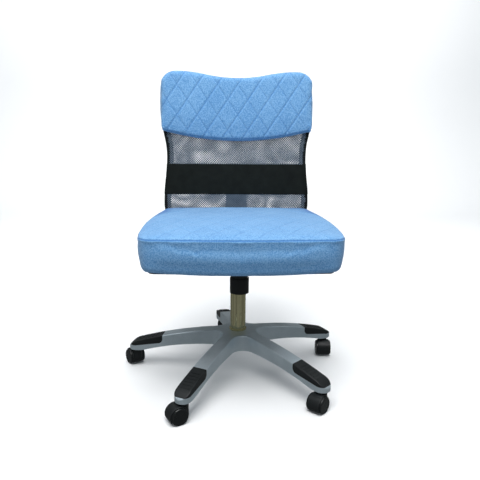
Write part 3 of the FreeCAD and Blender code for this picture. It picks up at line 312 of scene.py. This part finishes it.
def chrome_plate():
    plate = Finish("polished_chrome", Metallic=1.0)
    marks = plate.noise(900, 2.0, stretch=(1.0, 1.0, 0.05))
    smudges_and_painted_reflection = plate.noise(26, 3.0)
    # The base colour's warm olive tints are a painted reflection of a dim brown room, varied by the same noise as
    # the smudges.
    plate.vary("Base Color", plate.between(smudges_and_painted_reflection, tint(204, 196, 150), tint(228, 221, 180)))
    plate.vary("Roughness", (marks * 0.4 + smudges_and_painted_reflection * 0.6).ease(0.3, 0.7, 0.05, 0.13))
    plate.bump(marks, 0.004 * MM)
    return plate.material


def bright_steel():
    steel = Finish("zinc_steel", Metallic=1.0)
    crystals = steel.grains(1400)
    steel.vary("Base Color", steel.between(crystals, tint(150, 152, 150), tint(190, 190, 184)))
    steel.vary("Roughness", steel.noise(180, 2.0).ease(0.3, 0.7, 0.28, 0.45))
    steel.bump(crystals, 0.02 * MM)
    return steel.material


def black_steel():
    coat = Finish("black_powder_coat", Specular_IOR_Level=0.25)
    peel = coat.noise(900, 2.0)
    coat.vary("Base Color", coat.between(peel, tint(16, 17, 17), tint(28, 29, 30)))
    coat.vary("Roughness", peel.ease(0.3, 0.7, 0.42, 0.6))
    coat.bump(peel, 0.09 * MM)
    return coat.material


# %% Plastics, rubber, wood and lining
def moulded(name, dark, light, roughness, grain_depth, shine=0.3):
    """Moulded plastic: a spark-grained mould leaves fine pits, and handling leaves a dull bloom."""
    plastic = Finish(name, Specular_IOR_Level=shine)
    grain = plastic.grains(1500)
    bloom = plastic.noise(34, 3.0)
    plastic.vary("Base Color", plastic.between(grain * 0.5 + bloom * 0.5, dark, light))
    plastic.vary("Roughness", bloom.ease(0.3, 0.7, roughness - 0.05, roughness + 0.07))
    plastic.bump(grain, grain_depth)
    return plastic.material


def plywood():
    wood = Finish("birch_plywood", Roughness=0.7)
    plies = wood.noise(60, 3.0, stretch=(0.4, 0.4, 12.0))
    fibres = wood.noise(300, 3.0, stretch=(0.1, 1.0, 1.0))
    wood.vary("Base Color", wood.between(plies * 0.6 + fibres * 0.4, tint(176, 136, 92), tint(214, 182, 138)))
    wood.bump(fibres, 0.1 * MM)
    return wood.material


def lining():
    felt = Finish("spunbond_lining", Roughness=0.9, Sheen_Weight=0.15)
    dimples = felt.grains(700)
    fibres = felt.noise(1300, 2.0)
    felt.vary("Base Color", felt.between(fibres, tint(22, 23, 24), tint(44, 45, 47)))
    felt.bump(dimples * 0.7 + fibres * 0.3, 0.15 * MM)
    return felt.material


# %% [markdown]
# ## Net and ribbed knit
# The net is a black warp knit, and the band round the waist a knit with a rib across it. Both
# yarns are dull black with a cool cast. The holes are real, so these finishes are only yarn.

# %% Black knits
def knit(name, dark, light, rib_pitch):
    yarn = Finish(name, Roughness=0.7, Specular_IOR_Level=0.15)
    loops = yarn.noise(1700, 1.0)
    wide = yarn.noise(40, 2.0)
    yarn.vary("Base Color", yarn.between((loops * 0.6 + wide * 0.4).ease(0.3, 0.7), dark, light))
    rows = abs((yarn.z / rib_pitch).part() - 0.5) * 2
    yarn.bump(rows * 0.5 + loops * 0.5, 0.2 * MM)
    return yarn.material


net_yarn = knit("net_yarn", tint(84, 94, 104), tint(112, 123, 134), 1.1 * MM)
rib_knit = knit("rib_knit", tint(10, 14, 12), tint(24, 29, 26), 0.9 * MM)
wrap_knit = knit("wrap_knit", tint(12, 15, 16), tint(28, 32, 34), 1.1 * MM)

# %% Give every frame part its finish
finishes = {
    "silver_paint": silver_paint(),
    "chrome": chrome_plate(),
    "steel": bright_steel(),
    "black_steel": black_steel(),
    "black_plastic": moulded("satin_black_plastic", tint(19, 21, 22), tint(33, 36, 37), 0.42, 0.05 * MM),
    "gloss_black": moulded("gloss_black_nylon", tint(14, 16, 17), tint(24, 27, 28), 0.24, 0.012 * MM, 0.45),
    "white_plastic": moulded("white_acetal", tint(214, 212, 204), tint(232, 230, 224), 0.4, 0.02 * MM),
    "rubber": moulded("black_rubber", tint(26, 26, 26), tint(40, 40, 40), 0.7, 0.08 * MM),
    "plywood": plywood(),
    "black_lining": lining(),
    "blue_fabric": welt_cloth,
    "black_mesh": net_yarn,
    "black_ribbed": rib_knit,
}
for node in nodes.values():
    for place, old in enumerate(node.data.materials):
        node.data.materials[place] = finishes[old.name.split(".")[0]]
print(len(nodes), "frame parts in", len(finishes), "finishes")

# %% [markdown]
# ## Measuring on the frame
# The soft pieces are cut to fit the frame, so their sizes are measured on it. A ray shot at a
# part says where its surface is. Typing the sizes again would work too, until the frame changes.

# %% Rays that measure the frame
def skin(node):
    mesh = nodes[node].data
    points = [v.co for v in mesh.vertices]
    return BVHTree.FromPolygons(points, [p.vertices for p in mesh.polygons])


def reach(tree, start, direction):
    place = tree.ray_cast(Vector(start), Vector(direction))[0]
    if place is None:
        raise ValueError(f"nothing on the line from {start} along {direction}")
    return place


def back_y(height):
    """y of the back's middle surface."""
    return WAIST_Y + BACK_CURVE - math.sqrt(BACK_CURVE ** 2 - (height - BACK_WAIST) ** 2)


sleeve_skin = skin("mesh_sleeve")
sleeve_front = reach(sleeve_skin, (0, -1, BACK_WAIST), (0, 1, 0)).y
NET_OUT = WAIST_Y - sleeve_front


def sleeve_half(height):
    return reach(sleeve_skin, (1, back_y(height), height), (-1, 0, 0)).x


print("the net lies", round(NET_OUT / MM, 2), "mm from the back's middle surface")

# %% Making and finishing pieces
def piece(name, bm, material, body):
    """Turns a bmesh into an object at the origin that rides on a body."""
    mesh = bpy.data.meshes.new(name)
    bm.to_mesh(mesh)
    bm.free()
    mesh.materials.append(material)
    mesh.polygons.foreach_set("use_smooth", [True] * len(mesh.polygons))
    made = bpy.data.objects.new(name, mesh)
    bpy.context.scene.collection.objects.link(made)
    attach(made, body)
    print(name, len(mesh.polygons), "faces")
    return made


def settle(made):
    """Applies a piece's modifiers to its mesh."""
    graph = bpy.context.evaluated_depsgraph_get()
    mesh = bpy.data.meshes.new_from_object(made.evaluated_get(graph))
    made.modifiers.clear()
    made.data = mesh


def modify(made, kind, **settings):
    modifier = made.modifiers.new(kind.title(), kind)
    for name, value in settings.items():
        setattr(modifier, name, value)
    return modifier


# %% [markdown]
# ## How padding gets its shape
# Foam under cloth bulges between its seams. The steps are: an even skin of small squares over the
# shape (voxel remesh), a short cloth simulation with air pressure inside and no gravity, a cap on
# how far any point may go, and one subdivision. Inflating by hand never gives such even tension.

# %% Remesh, inflate and subdivide
def even_skin(made, cell):
    modify(made, "REMESH", mode="VOXEL", voxel_size=cell)
    settle(made)


def relax(made, rounds, factor=0.5):
    bm = bmesh.new()
    bm.from_mesh(made.data)
    for _ in range(rounds):
        bmesh.ops.smooth_vert(bm, verts=bm.verts, factor=factor, use_axis_x=True, use_axis_y=True, use_axis_z=True)
    bm.to_mesh(made.data)
    bm.free()


def inflate(made, pressure, cap, freedom):
    """Swells a closed piece. freedom(point) is from 0, held, to 1, free to move up to cap."""
    start = [v.co.copy() for v in made.data.vertices]
    cloth = modify(made, "CLOTH")
    cloth.settings.use_pressure = True
    cloth.settings.uniform_pressure_force = pressure
    cloth.settings.effector_weights.gravity = 0
    cloth.settings.quality = 4
    cloth.collision_settings.use_collision = False
    for step in range(1, 21):
        bpy.context.scene.frame_set(step)
    settle(made)
    bpy.context.scene.frame_set(1)
    for vertex, before in zip(made.data.vertices, start):
        move = vertex.co - before
        limit = cap * freedom(before)
        if move.length > limit:
            vertex.co = before + move * (limit / max(move.length, 1e-9))


def subdivide(made):
    modify(made, "SUBSURF", levels=1, render_levels=1)
    settle(made)


def push(made, offset):
    """Moves each point by what offset(point, normal) says."""
    normals = [v.normal.copy() for v in made.data.vertices]
    for vertex, normal in zip(made.data.vertices, normals):
        vertex.co += offset(vertex.co, normal)
    made.data.update()


def ease(value, low, high):
    share = min(1.0, max(0.0, (value - low) / (high - low)))
    return share * share * (3 - 2 * share)


def channel(distance, width):
    """1 in the middle of a sewn channel, falling away to its sides."""
    return math.exp(-(distance / width) ** 2)


# %% [markdown]
# ## The seat
# A slab of moulded foam on a board, in a cover of two parts: a quilted top, and a plain band sewn
# round it, tucked under and stapled to the board. It starts as a copy of the frame's plain solid,
# so that it sits exactly where the solid does.

# %% Seat: swell a copy of the plain solid
seat_low, seat_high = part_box("seat_cushion")
SEAT_CELL = 4.5 * MM
SEAT_FULLNESS = 2.2 * MM


def seat_blank():
    bm = bmesh.new()
    bm.from_mesh(nodes["seat_cushion"].data)
    bmesh.ops.remove_doubles(bm, verts=bm.verts, dist=0.01 * MM)
    bmesh.ops.recalc_face_normals(bm, faces=bm.faces)
    bm.normal_update()
    return piece("seat_cover", bm, seat_cloth, "seat")


seat_cover = seat_blank()
even_skin(seat_cover, SEAT_CELL)
relax(seat_cover, 2)
push(seat_cover, lambda point, normal: normal * SEAT_FULLNESS * ease(0.6, 0.2, abs(normal.z)) * ease(point.z, seat_low.z + 16 * MM, seat_low.z + 30 * MM))
inflate(seat_cover, 4.0, 2.5 * MM, lambda point: ease(point.z, seat_low.z + 14 * MM, seat_low.z + 40 * MM))
relax(seat_cover, 1)
subdivide(seat_cover)
print("seat cover", len(seat_cover.data.vertices), "points")

# %% Seat: how the cover's tension changes the plain shape
seat_half = (seat_high - seat_low) / 2
seat_centre = (seat_low + seat_high) / 2
SEAT_TUCK = 2 * MM
CORNER_LIFT = 6 * MM
MIDDLE_SAG = 4 * MM
REAR_FLATTER = 0.75
SIDE_FLATTER = 0.35


def seat_tension(point, normal):
    """Tucks the band in below, lifts the corners' lower edge, and lowers the crown at rear and sides."""
    side = abs(point.x) / seat_half.x
    end = abs(point.y - seat_centre.y) / seat_half.y
    rim = ease(max(side, end), 0.82, 0.97)
    below = 1 - ease(point.z, seat_low.z, seam_height)
    inward = Vector((-point.x / seat_half.x, -(point.y - seat_centre.y) / seat_half.y, 0))
    corner = ease(side, 0.3, 1.0) * ease(end, 0.6, 1.0)
    lift = (CORNER_LIFT * corner - MIDDLE_SAG * rim) * (1 - ease(point.z, seat_low.z, seat_low.z + 50 * MM))
    flatter = REAR_FLATTER * ease(point.y, -0.06, 0.15) + SIDE_FLATTER * side * side
    drop = max(0.0, point.z - seam_height) * min(0.9, flatter)
    return inward * SEAT_TUCK * rim * below + Vector((0, 0, lift - drop))


push(seat_cover, seat_tension)

# %% Seat: seam, quilting and the small unevenness of a sewn cover
def seat_sewing(point, normal):
    top = ease(point.z, seam_height + 2 * MM, seam_height + 5 * MM)
    quilt = max(0.9 * channel(from_seam(slant), 3.2 * MM) for slant in slants(point.x, point.y, SEAT_CROSSING))
    raised = 1.0 * MM * channel(point.z - seam_height, 5 * MM) - 1.0 * MM * channel(point.z - seam_height, 1.6 * MM)
    side = ease(normal.z, 0.9, 0.4) * ease(point.z, seat_low.z, seat_low.z + 20 * MM)
    wave = noise.noise(Vector((point.x, point.y, point.z * 0.6)) * 22) * 0.5 * MM
    return normal * (raised + wave * side - 0.7 * MM * quilt * top)


push(seat_cover, seat_sewing)
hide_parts("seat_cushion")

# %% [markdown]
# ## Welts
# A sewn edge reads as sewn because something small and round runs along it. Such a piece is a
# curve with a round section, made a mesh. The curve's points are found on the finished padding.

# %% A round cord of cloth along some points
def tube_along(name, points, radius, material, body, closed):
    line = bpy.data.curves.new(name, "CURVE")
    line.dimensions = "3D"
    line.bevel_depth = radius
    line.bevel_resolution = 2
    line.use_fill_caps = True
    run = line.splines.new("POLY")
    run.points.add(len(points) - 1)
    for place, point in zip(run.points, points):
        place.co = (*point, 1.0)
    run.use_cyclic_u = closed
    holder = bpy.data.objects.new(name, line)
    bpy.context.scene.collection.objects.link(holder)
    graph = bpy.context.evaluated_depsgraph_get()
    mesh = bpy.data.meshes.new_from_object(holder.evaluated_get(graph))
    bpy.data.objects.remove(holder)
    bm = bmesh.new()
    bm.from_mesh(mesh)
    return piece(name, bm, material, body)


def skin_of(made):
    mesh = made.data
    return BVHTree.FromPolygons([v.co for v in mesh.vertices], [p.vertices for p in mesh.polygons])


# %% Seat: the welt that covers the seam
WELT_RADIUS = 0.9 * MM
seat_skin = skin_of(seat_cover)


def round_the_seat(height, count, proud):
    points = []
    for turn in range(count):
        angle = 2 * math.pi * turn / count
        outward = Vector((math.cos(angle), math.sin(angle), 0))
        start = Vector((seat_centre.x, seat_centre.y, height)) + outward * 0.6
        points.append(reach(seat_skin, start, -outward) + outward * proud)
    return points


welt_line = round_the_seat(seam_height + 2.0 * MM, 240, -0.4 * MM)
tube_along("seat_welt", welt_line, WELT_RADIUS, welt_cloth, "seat", closed=True)

# %% [markdown]
# ## The hood over the back
# A quilted pad that slips over the top of the frame like a hood. Its outline is the frame's, a
# little larger, and its lower edge is a shallow curve. A grid of squares is fitted between the
# measured edges, given its thickness by an extrusion, and swelled like the seat.

# %% Hood: measure the outline
hood_low, hood_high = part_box("back_pad")
hood_skin = skin("back_pad")
HOOD_SHRINK = 2.0 * MM
hood_half = hood_high.x - HOOD_SHRINK
hood_front = NET_OUT + 22 * MM - HOOD_SHRINK
hood_rear = NET_OUT + 2.4 * MM - 0.6 * MM
SHOULDER = seam_height + 321 * MM


def hood_top(x):
    return reach(hood_skin, (x, back_y(SHOULDER) + 8 * MM, 1), (0, 0, -1)).z - HOOD_SHRINK


def hood_hem(x):
    height = hood_low.z + 12 * MM
    return reach(hood_skin, (x, back_y(height) - NET_OUT - 6 * MM, 0.5), (0, 0, 1)).z


side_hem = hood_hem(hood_half * 0.99) + 5 * MM


def hood_width(z):
    z = min(max(z, side_hem), SHOULDER)
    return reach(hood_skin, (1, back_y(z) - 4 * MM, z), (-1, 0, 0)).x - HOOD_SHRINK


print("hood from", round(hood_hem(0), 3), "to", round(hood_top(0), 3), "in the middle")

# %% Hood: a slab between the measured edges
HOOD_COLUMNS = 84
HOOD_ROWS = 40


def hood_blank():
    bm = bmesh.new()
    bmesh.ops.create_grid(bm, x_segments=HOOD_COLUMNS, y_segments=HOOD_ROWS, size=0.5)
    for vertex in bm.verts:
        across = math.sin(vertex.co.x * math.pi)
        up = vertex.co.y + 0.5
        x = across * hood_half * 0.995
        low = hood_hem(x)
        z = low + up * (hood_top(x) - low)
        x = across * hood_width(z)
        vertex.co = (x, 0, z)
    grown = bmesh.ops.extrude_face_region(bm, geom=bm.faces[:])["geom"]
    rear = {v for v in grown if isinstance(v, bmesh.types.BMVert)}
    for vertex in bm.verts:
        hem = ease(vertex.co.z - hood_hem(vertex.co.x * 0.98), 0, 12 * MM)
        front = -(NET_OUT + 13 * MM) * (1 - hem) - hood_front * hem
        vertex.co.y = back_y(vertex.co.z) + (hood_rear if vertex in rear else front)
    bmesh.ops.recalc_face_normals(bm, faces=bm.faces)
    rims = [e for e in bm.edges if e.calc_face_angle(0) > 0.9]
    bmesh.ops.bevel(bm, geom=rims, offset=7 * MM, segments=3, profile=0.5, affect="EDGES", material=-1)
    return piece("back_hood", bm, hood_cloth, "seat")


back_hood = hood_blank()
even_skin(back_hood, 4 * MM)
relax(back_hood, 3)
inflate(back_hood, 4.0, 3 * MM, lambda point: ease(point.z - hood_hem(point.x * 0.95), 6 * MM, 60 * MM))
relax(back_hood, 2)
subdivide(back_hood)

# %% Hood: channels, the hem's stitching and the side seam
def hood_sewing(point, normal):
    above_hem = point.z - hood_hem(max(-0.98, min(0.98, point.x / hood_half)) * hood_half)
    facing = ease(-normal.y, 0.25, 0.6)
    leaning, falling = slants(point.x, point.z, HOOD_CROSSING)
    quilt = max(channel(from_seam(leaning), 3.4 * MM), 0.7 * channel(from_seam(falling), 3.0 * MM))
    sunk = 1.4 * MM * quilt * facing * ease(above_hem, HEM_STITCH, HEM_STITCH + 4 * MM)
    sunk += 1.0 * MM * channel(above_hem - HEM_STITCH, 1.8 * MM)
    from_middle = point.y - back_y(point.z)
    sunk += 0.9 * MM * channel(from_middle + 17 * MM, 2.2 * MM) * (1 - facing) * ease(above_hem, 4 * MM, 12 * MM)
    return -normal * sunk


push(back_hood, hood_sewing)
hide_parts("back_pad")

# %% [markdown]
# ## The net
# One tube of knitted net is pulled over the frame, so there is a layer in front and one behind,
# a finger's width apart. Looking through both gives the shimmer that such backs have. The holes
# are cut in the mesh: a grid is turned by an eighth, trimmed, and every square is inset and opened.

# %% Net: two layers with real holes
HOLE_PITCH = 4.8 * MM
STRAND = 0.98 * MM
NOISE_START = 7
noise.seed_set(NOISE_START)  # without a start of its own, vector noise begins from the clock
foot_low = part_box("mesh_sleeve")[0].z + NET_OUT
net_high = hood_hem(0) + 46 * MM


def stretched(x, height, pull, seed):
    """Where the knit's own unevenness and the pull of the hand that fitted it leave a point."""
    where = Vector((x, height, seed)) * 9
    wide = noise.noise_vector(where) * pull
    fine = noise.noise_vector(where * 2.3) * pull * 0.35
    return x + wide.x + fine.x, height + wide.y + fine.y


def net_layer(name, offset, turned, pull, seed):
    reach_out = (0.43 + 0.29) / 2 / math.sqrt(0.5) / 2 + 16 * MM
    squares = round(2 * reach_out / HOLE_PITCH)
    bm = bmesh.new()
    bmesh.ops.create_grid(bm, x_segments=squares, y_segments=squares, size=reach_out)
    turn = Matrix.Rotation(math.pi / 4 + turned, 3, "Z")
    bmesh.ops.rotate(bm, verts=bm.verts, cent=(0, 0, 0), matrix=turn)
    for vertex in bm.verts:
        vertex.co.xy = stretched(*vertex.co.xy, pull, seed)
    middle = (foot_low + net_high) / 2
    outside = []
    for face in bm.faces:
        x, height = face.calc_center_median().xy
        height += middle
        if not foot_low < height < net_high or abs(x) > sleeve_half(height) - NET_OUT:
            outside.append(face)
    bmesh.ops.delete(bm, geom=outside, context="FACES")
    holes = bm.faces[:]
    bmesh.ops.inset_individual(bm, faces=holes, thickness=STRAND, use_even_offset=True)
    bmesh.ops.delete(bm, geom=holes, context="FACES")
    for vertex in bm.verts:
        x, height = vertex.co.xy
        height += middle
        vertex.co = (x, back_y(height) + offset, height)
    return piece(name, bm, net_yarn, "seat")


open_share = (1 - 2 * STRAND / HOLE_PITCH) ** 2
net_size = (2 * (sleeve_half(BACK_WAIST) - NET_OUT), net_high - foot_low)
layers = [net_layer("net_front", -NET_OUT, 0.0, 3 * MM, 1.7), net_layer("net_rear", NET_OUT, 0.012, 7 * MM, 8.4)]
for layer in layers:
    cut_area = net_size[0] * net_size[1] * (1 - open_share)
print("the net is", round(100 * open_share), "% holes")

# %% [markdown]
# ## The wrapped edge
# Where the knit goes round the frame's tube it lies double and looks solid black. It is a round
# sleeve along the tube: up both sides into the hood, and across the foot.

# %% Wrapped edge of the frame
FOOT_CORNER = 34 * MM
SIDE_POINTS = 40


def edge_line():
    side = []
    start = foot_low + FOOT_CORNER
    for step in range(SIDE_POINTS + 1):
        z = start + (net_high + 30 * MM - start) * step / SIDE_POINTS
        side.append((sleeve_half(z) - NET_OUT, z))
    foot = []
    corner_x = side[0][0] - FOOT_CORNER
    for step in range(1, 10):
        angle = math.pi / 2 * step / 10
        foot.append((corner_x + FOOT_CORNER * math.cos(angle), start - FOOT_CORNER * math.sin(angle)))
    right = list(reversed(side)) + foot + [(corner_x, foot_low)]
    left = [(-x, z) for x, z in reversed(right)]
    return [Vector((x, back_y(z), z)) for x, z in right + left]


frame_wrap = tube_along("frame_wrap", edge_line(), NET_OUT, wrap_knit, "seat", closed=False)
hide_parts("mesh_sleeve")

# %% [markdown]
# ## The ribbed band
# A loop of ribbed elastic knit round the waist carries the lower back. It is one ring of points
# drawn round both tubes, extruded upwards row by row, every other row standing a little proud.

# %% Ribbed band
band_low, band_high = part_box("lumbar_band")
RIB_PITCH = 3.5 * MM
RIB_DEPTH = 0.35 * MM
BAND_OUT = NET_OUT + 0.8 * MM


def band():
    bm = bmesh.new()
    bmesh.ops.create_circle(bm, segments=48, radius=BAND_OUT)
    shares = {v: v.co.copy() for v in bm.verts}
    rows = round((band_high.z - band_low.z) / (RIB_PITCH / 2))
    row = bm.edges[:]
    ring = dict(shares)
    for step in range(rows + 1):
        z = band_low.z + (band_high.z - band_low.z) * step / rows
        proud = RIB_DEPTH if step % 2 else 0.0
        for vertex, share in ring.items():
            side = math.copysign(sleeve_half(z) - NET_OUT, share.x)
            round_it = share * (1 + proud / BAND_OUT)
            vertex.co = (side + round_it.x, back_y(z) + round_it.y, z)
        if step < rows:
            grown = bmesh.ops.extrude_edge_only(bm, edges=row)["geom"]
            above = [v for v in grown if isinstance(v, bmesh.types.BMVert)]
            row = [e for e in grown if isinstance(e, bmesh.types.BMEdge)]
            old = {tuple(round(c, 7) for c in v.co): share for v, share in ring.items()}
            ring = {v: old[tuple(round(c, 7) for c in v.co)] for v in above}
    bmesh.ops.recalc_face_normals(bm, faces=bm.faces)
    return piece("waist_band", bm, rib_knit, "seat")


waist_band = band()
modify(waist_band, "SOLIDIFY", thickness=0.5 * MM, offset=-1.0)
around = 4 * (sleeve_half(BACK_WAIST) - NET_OUT) + 2 * math.pi * BAND_OUT
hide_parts("lumbar_band")

# %% [markdown]
# ## Camera, floor and light
# A product on white is lit by large soft sources: one above and in front, a smaller one overhead, one
# behind that lights the wall, and the white room itself. The camera stands a little above the seat, looking down.

# %% Camera
CAMERA_PLACE = Vector((-0.0570, -1.5154, seam_height + 0.3019))
CAMERA_HEADING = Vector((0.0401, 0.9992, 0)).normalized()
CAMERA_DOWN = 0.2312
CAMERA_ROLL = 0.0095


def camera():
    ahead = CAMERA_HEADING * math.cos(CAMERA_DOWN) - Vector((0, 0, math.sin(CAMERA_DOWN)))
    right = ahead.cross(Vector((0, 0, 1))).normalized()
    up = right.cross(ahead)
    axes = Matrix((right, up, -ahead)).transposed() @ Matrix.Rotation(CAMERA_ROLL, 3, "Z")
    made = bpy.data.objects.new("camera", bpy.data.cameras.new("camera"))
    made.data.lens = 42.74
    made.matrix_world = Matrix.Translation(CAMERA_PLACE) @ axes.to_4x4()
    bpy.context.scene.collection.objects.link(made)
    bpy.context.scene.camera = made


camera()

# %% Floor that sweeps up into a wall
def studio_floor():
    bm = bmesh.new()
    bmesh.ops.create_grid(bm, x_segments=2, y_segments=60, size=6)
    bend, radius = 2.4, 0.9
    for vertex in bm.verts:
        past = vertex.co.y - bend
        if past > 0:
            angle = min(past / radius, math.pi / 2)
            rest = max(0.0, past - radius * math.pi / 2)
            vertex.co.y = bend + radius * math.sin(angle)
            vertex.co.z = radius * (1 - math.cos(angle)) + rest
    mesh = bpy.data.meshes.new("studio_floor")
    bm.to_mesh(mesh)
    bm.free()
    pale = Finish("pale_floor", Roughness=0.9)
    pale.vary("Base Color", pale.between(pale.noise(3, 2.0), (0.93, 0.93, 0.93, 1), (0.95, 0.95, 0.95, 1)))
    mesh.materials.append(pale.material)
    mesh.polygons.foreach_set("use_smooth", [True] * len(mesh.polygons))
    floor = bpy.data.objects.new("studio_floor", mesh)
    floor.visible_glossy = False
    floor.visible_diffuse = False
    bpy.context.scene.collection.objects.link(floor)


def glowing_reflection_flags():
    """Dim glowing cards round the set, no lamps, seen only in reflections: a painted reflection of a dim room that
    gives metal its dark sides.
    """
    bm = bmesh.new()
    bmesh.ops.create_cube(bm, size=7)
    bm.faces.ensure_lookup_table()
    bmesh.ops.delete(bm, geom=[max(bm.faces, key=lambda face: face.calc_center_median().z)], context="FACES")
    mesh = bpy.data.meshes.new("glowing_reflection_flags")
    bm.to_mesh(mesh)
    bm.free()
    card = Finish("glowing_reflection_card", Roughness=1.0, Emission_Strength=1.0, Base_Color=(0, 0, 0, 1))
    # Vertical streaks in the cards' glow: painted streaks of reflection in the metal.
    reflection_streaks = card.noise(2.2, 1.0, stretch=(1.0, 1.0, 0.15)).ease(0.35, 0.65)
    card.vary("Emission Color", card.between(reflection_streaks, (0.08, 0.085, 0.085, 1), (0.22, 0.235, 0.24, 1)))
    mesh.materials.append(card.material)
    flags = bpy.data.objects.new("glowing_reflection_flags", mesh)
    for ray in ("camera", "diffuse", "shadow", "transmission"):
        setattr(flags, f"visible_{ray}", False)
    bpy.context.scene.collection.objects.link(flags)


studio_floor()
glowing_reflection_flags()

# %% Lights
def soft_light(name, place, aim, size, power, colour=(1, 1, 1)):
    lamp = bpy.data.lights.new(name, "AREA")
    lamp.shape = "RECTANGLE"
    lamp.size, lamp.size_y = size
    lamp.energy = power
    lamp.color = colour
    holder = bpy.data.objects.new(name, lamp)
    place = Vector(place)
    holder.matrix_world = Matrix.Translation(place) @ (Vector(aim) - place).to_track_quat("-Z", "Y").to_matrix().to_4x4()
    bpy.context.scene.collection.objects.link(holder)


soft_light("key", (-0.3, -1.35, 2.9), (0, 0, 0.5), (2.2, 1.6), 88)
soft_light("top", (0.2, 0.2, 2.7), (0, 0, 0.4), (1.4, 1.4), 24)
soft_light("rear", (0.0, 1.6, 2.4), (0, 3.2, 0.9), (3.0, 0.8), 52)
world = bpy.data.worlds.new("white_room")
bpy.context.scene.world = world
world.use_nodes = True
world.node_tree.nodes["Background"].inputs["Color"].default_value = (0.86, 0.94, 1, 1)
world.node_tree.nodes["Background"].inputs["Strength"].default_value = 0.44
bpy.context.scene.view_settings.view_transform = "Standard"
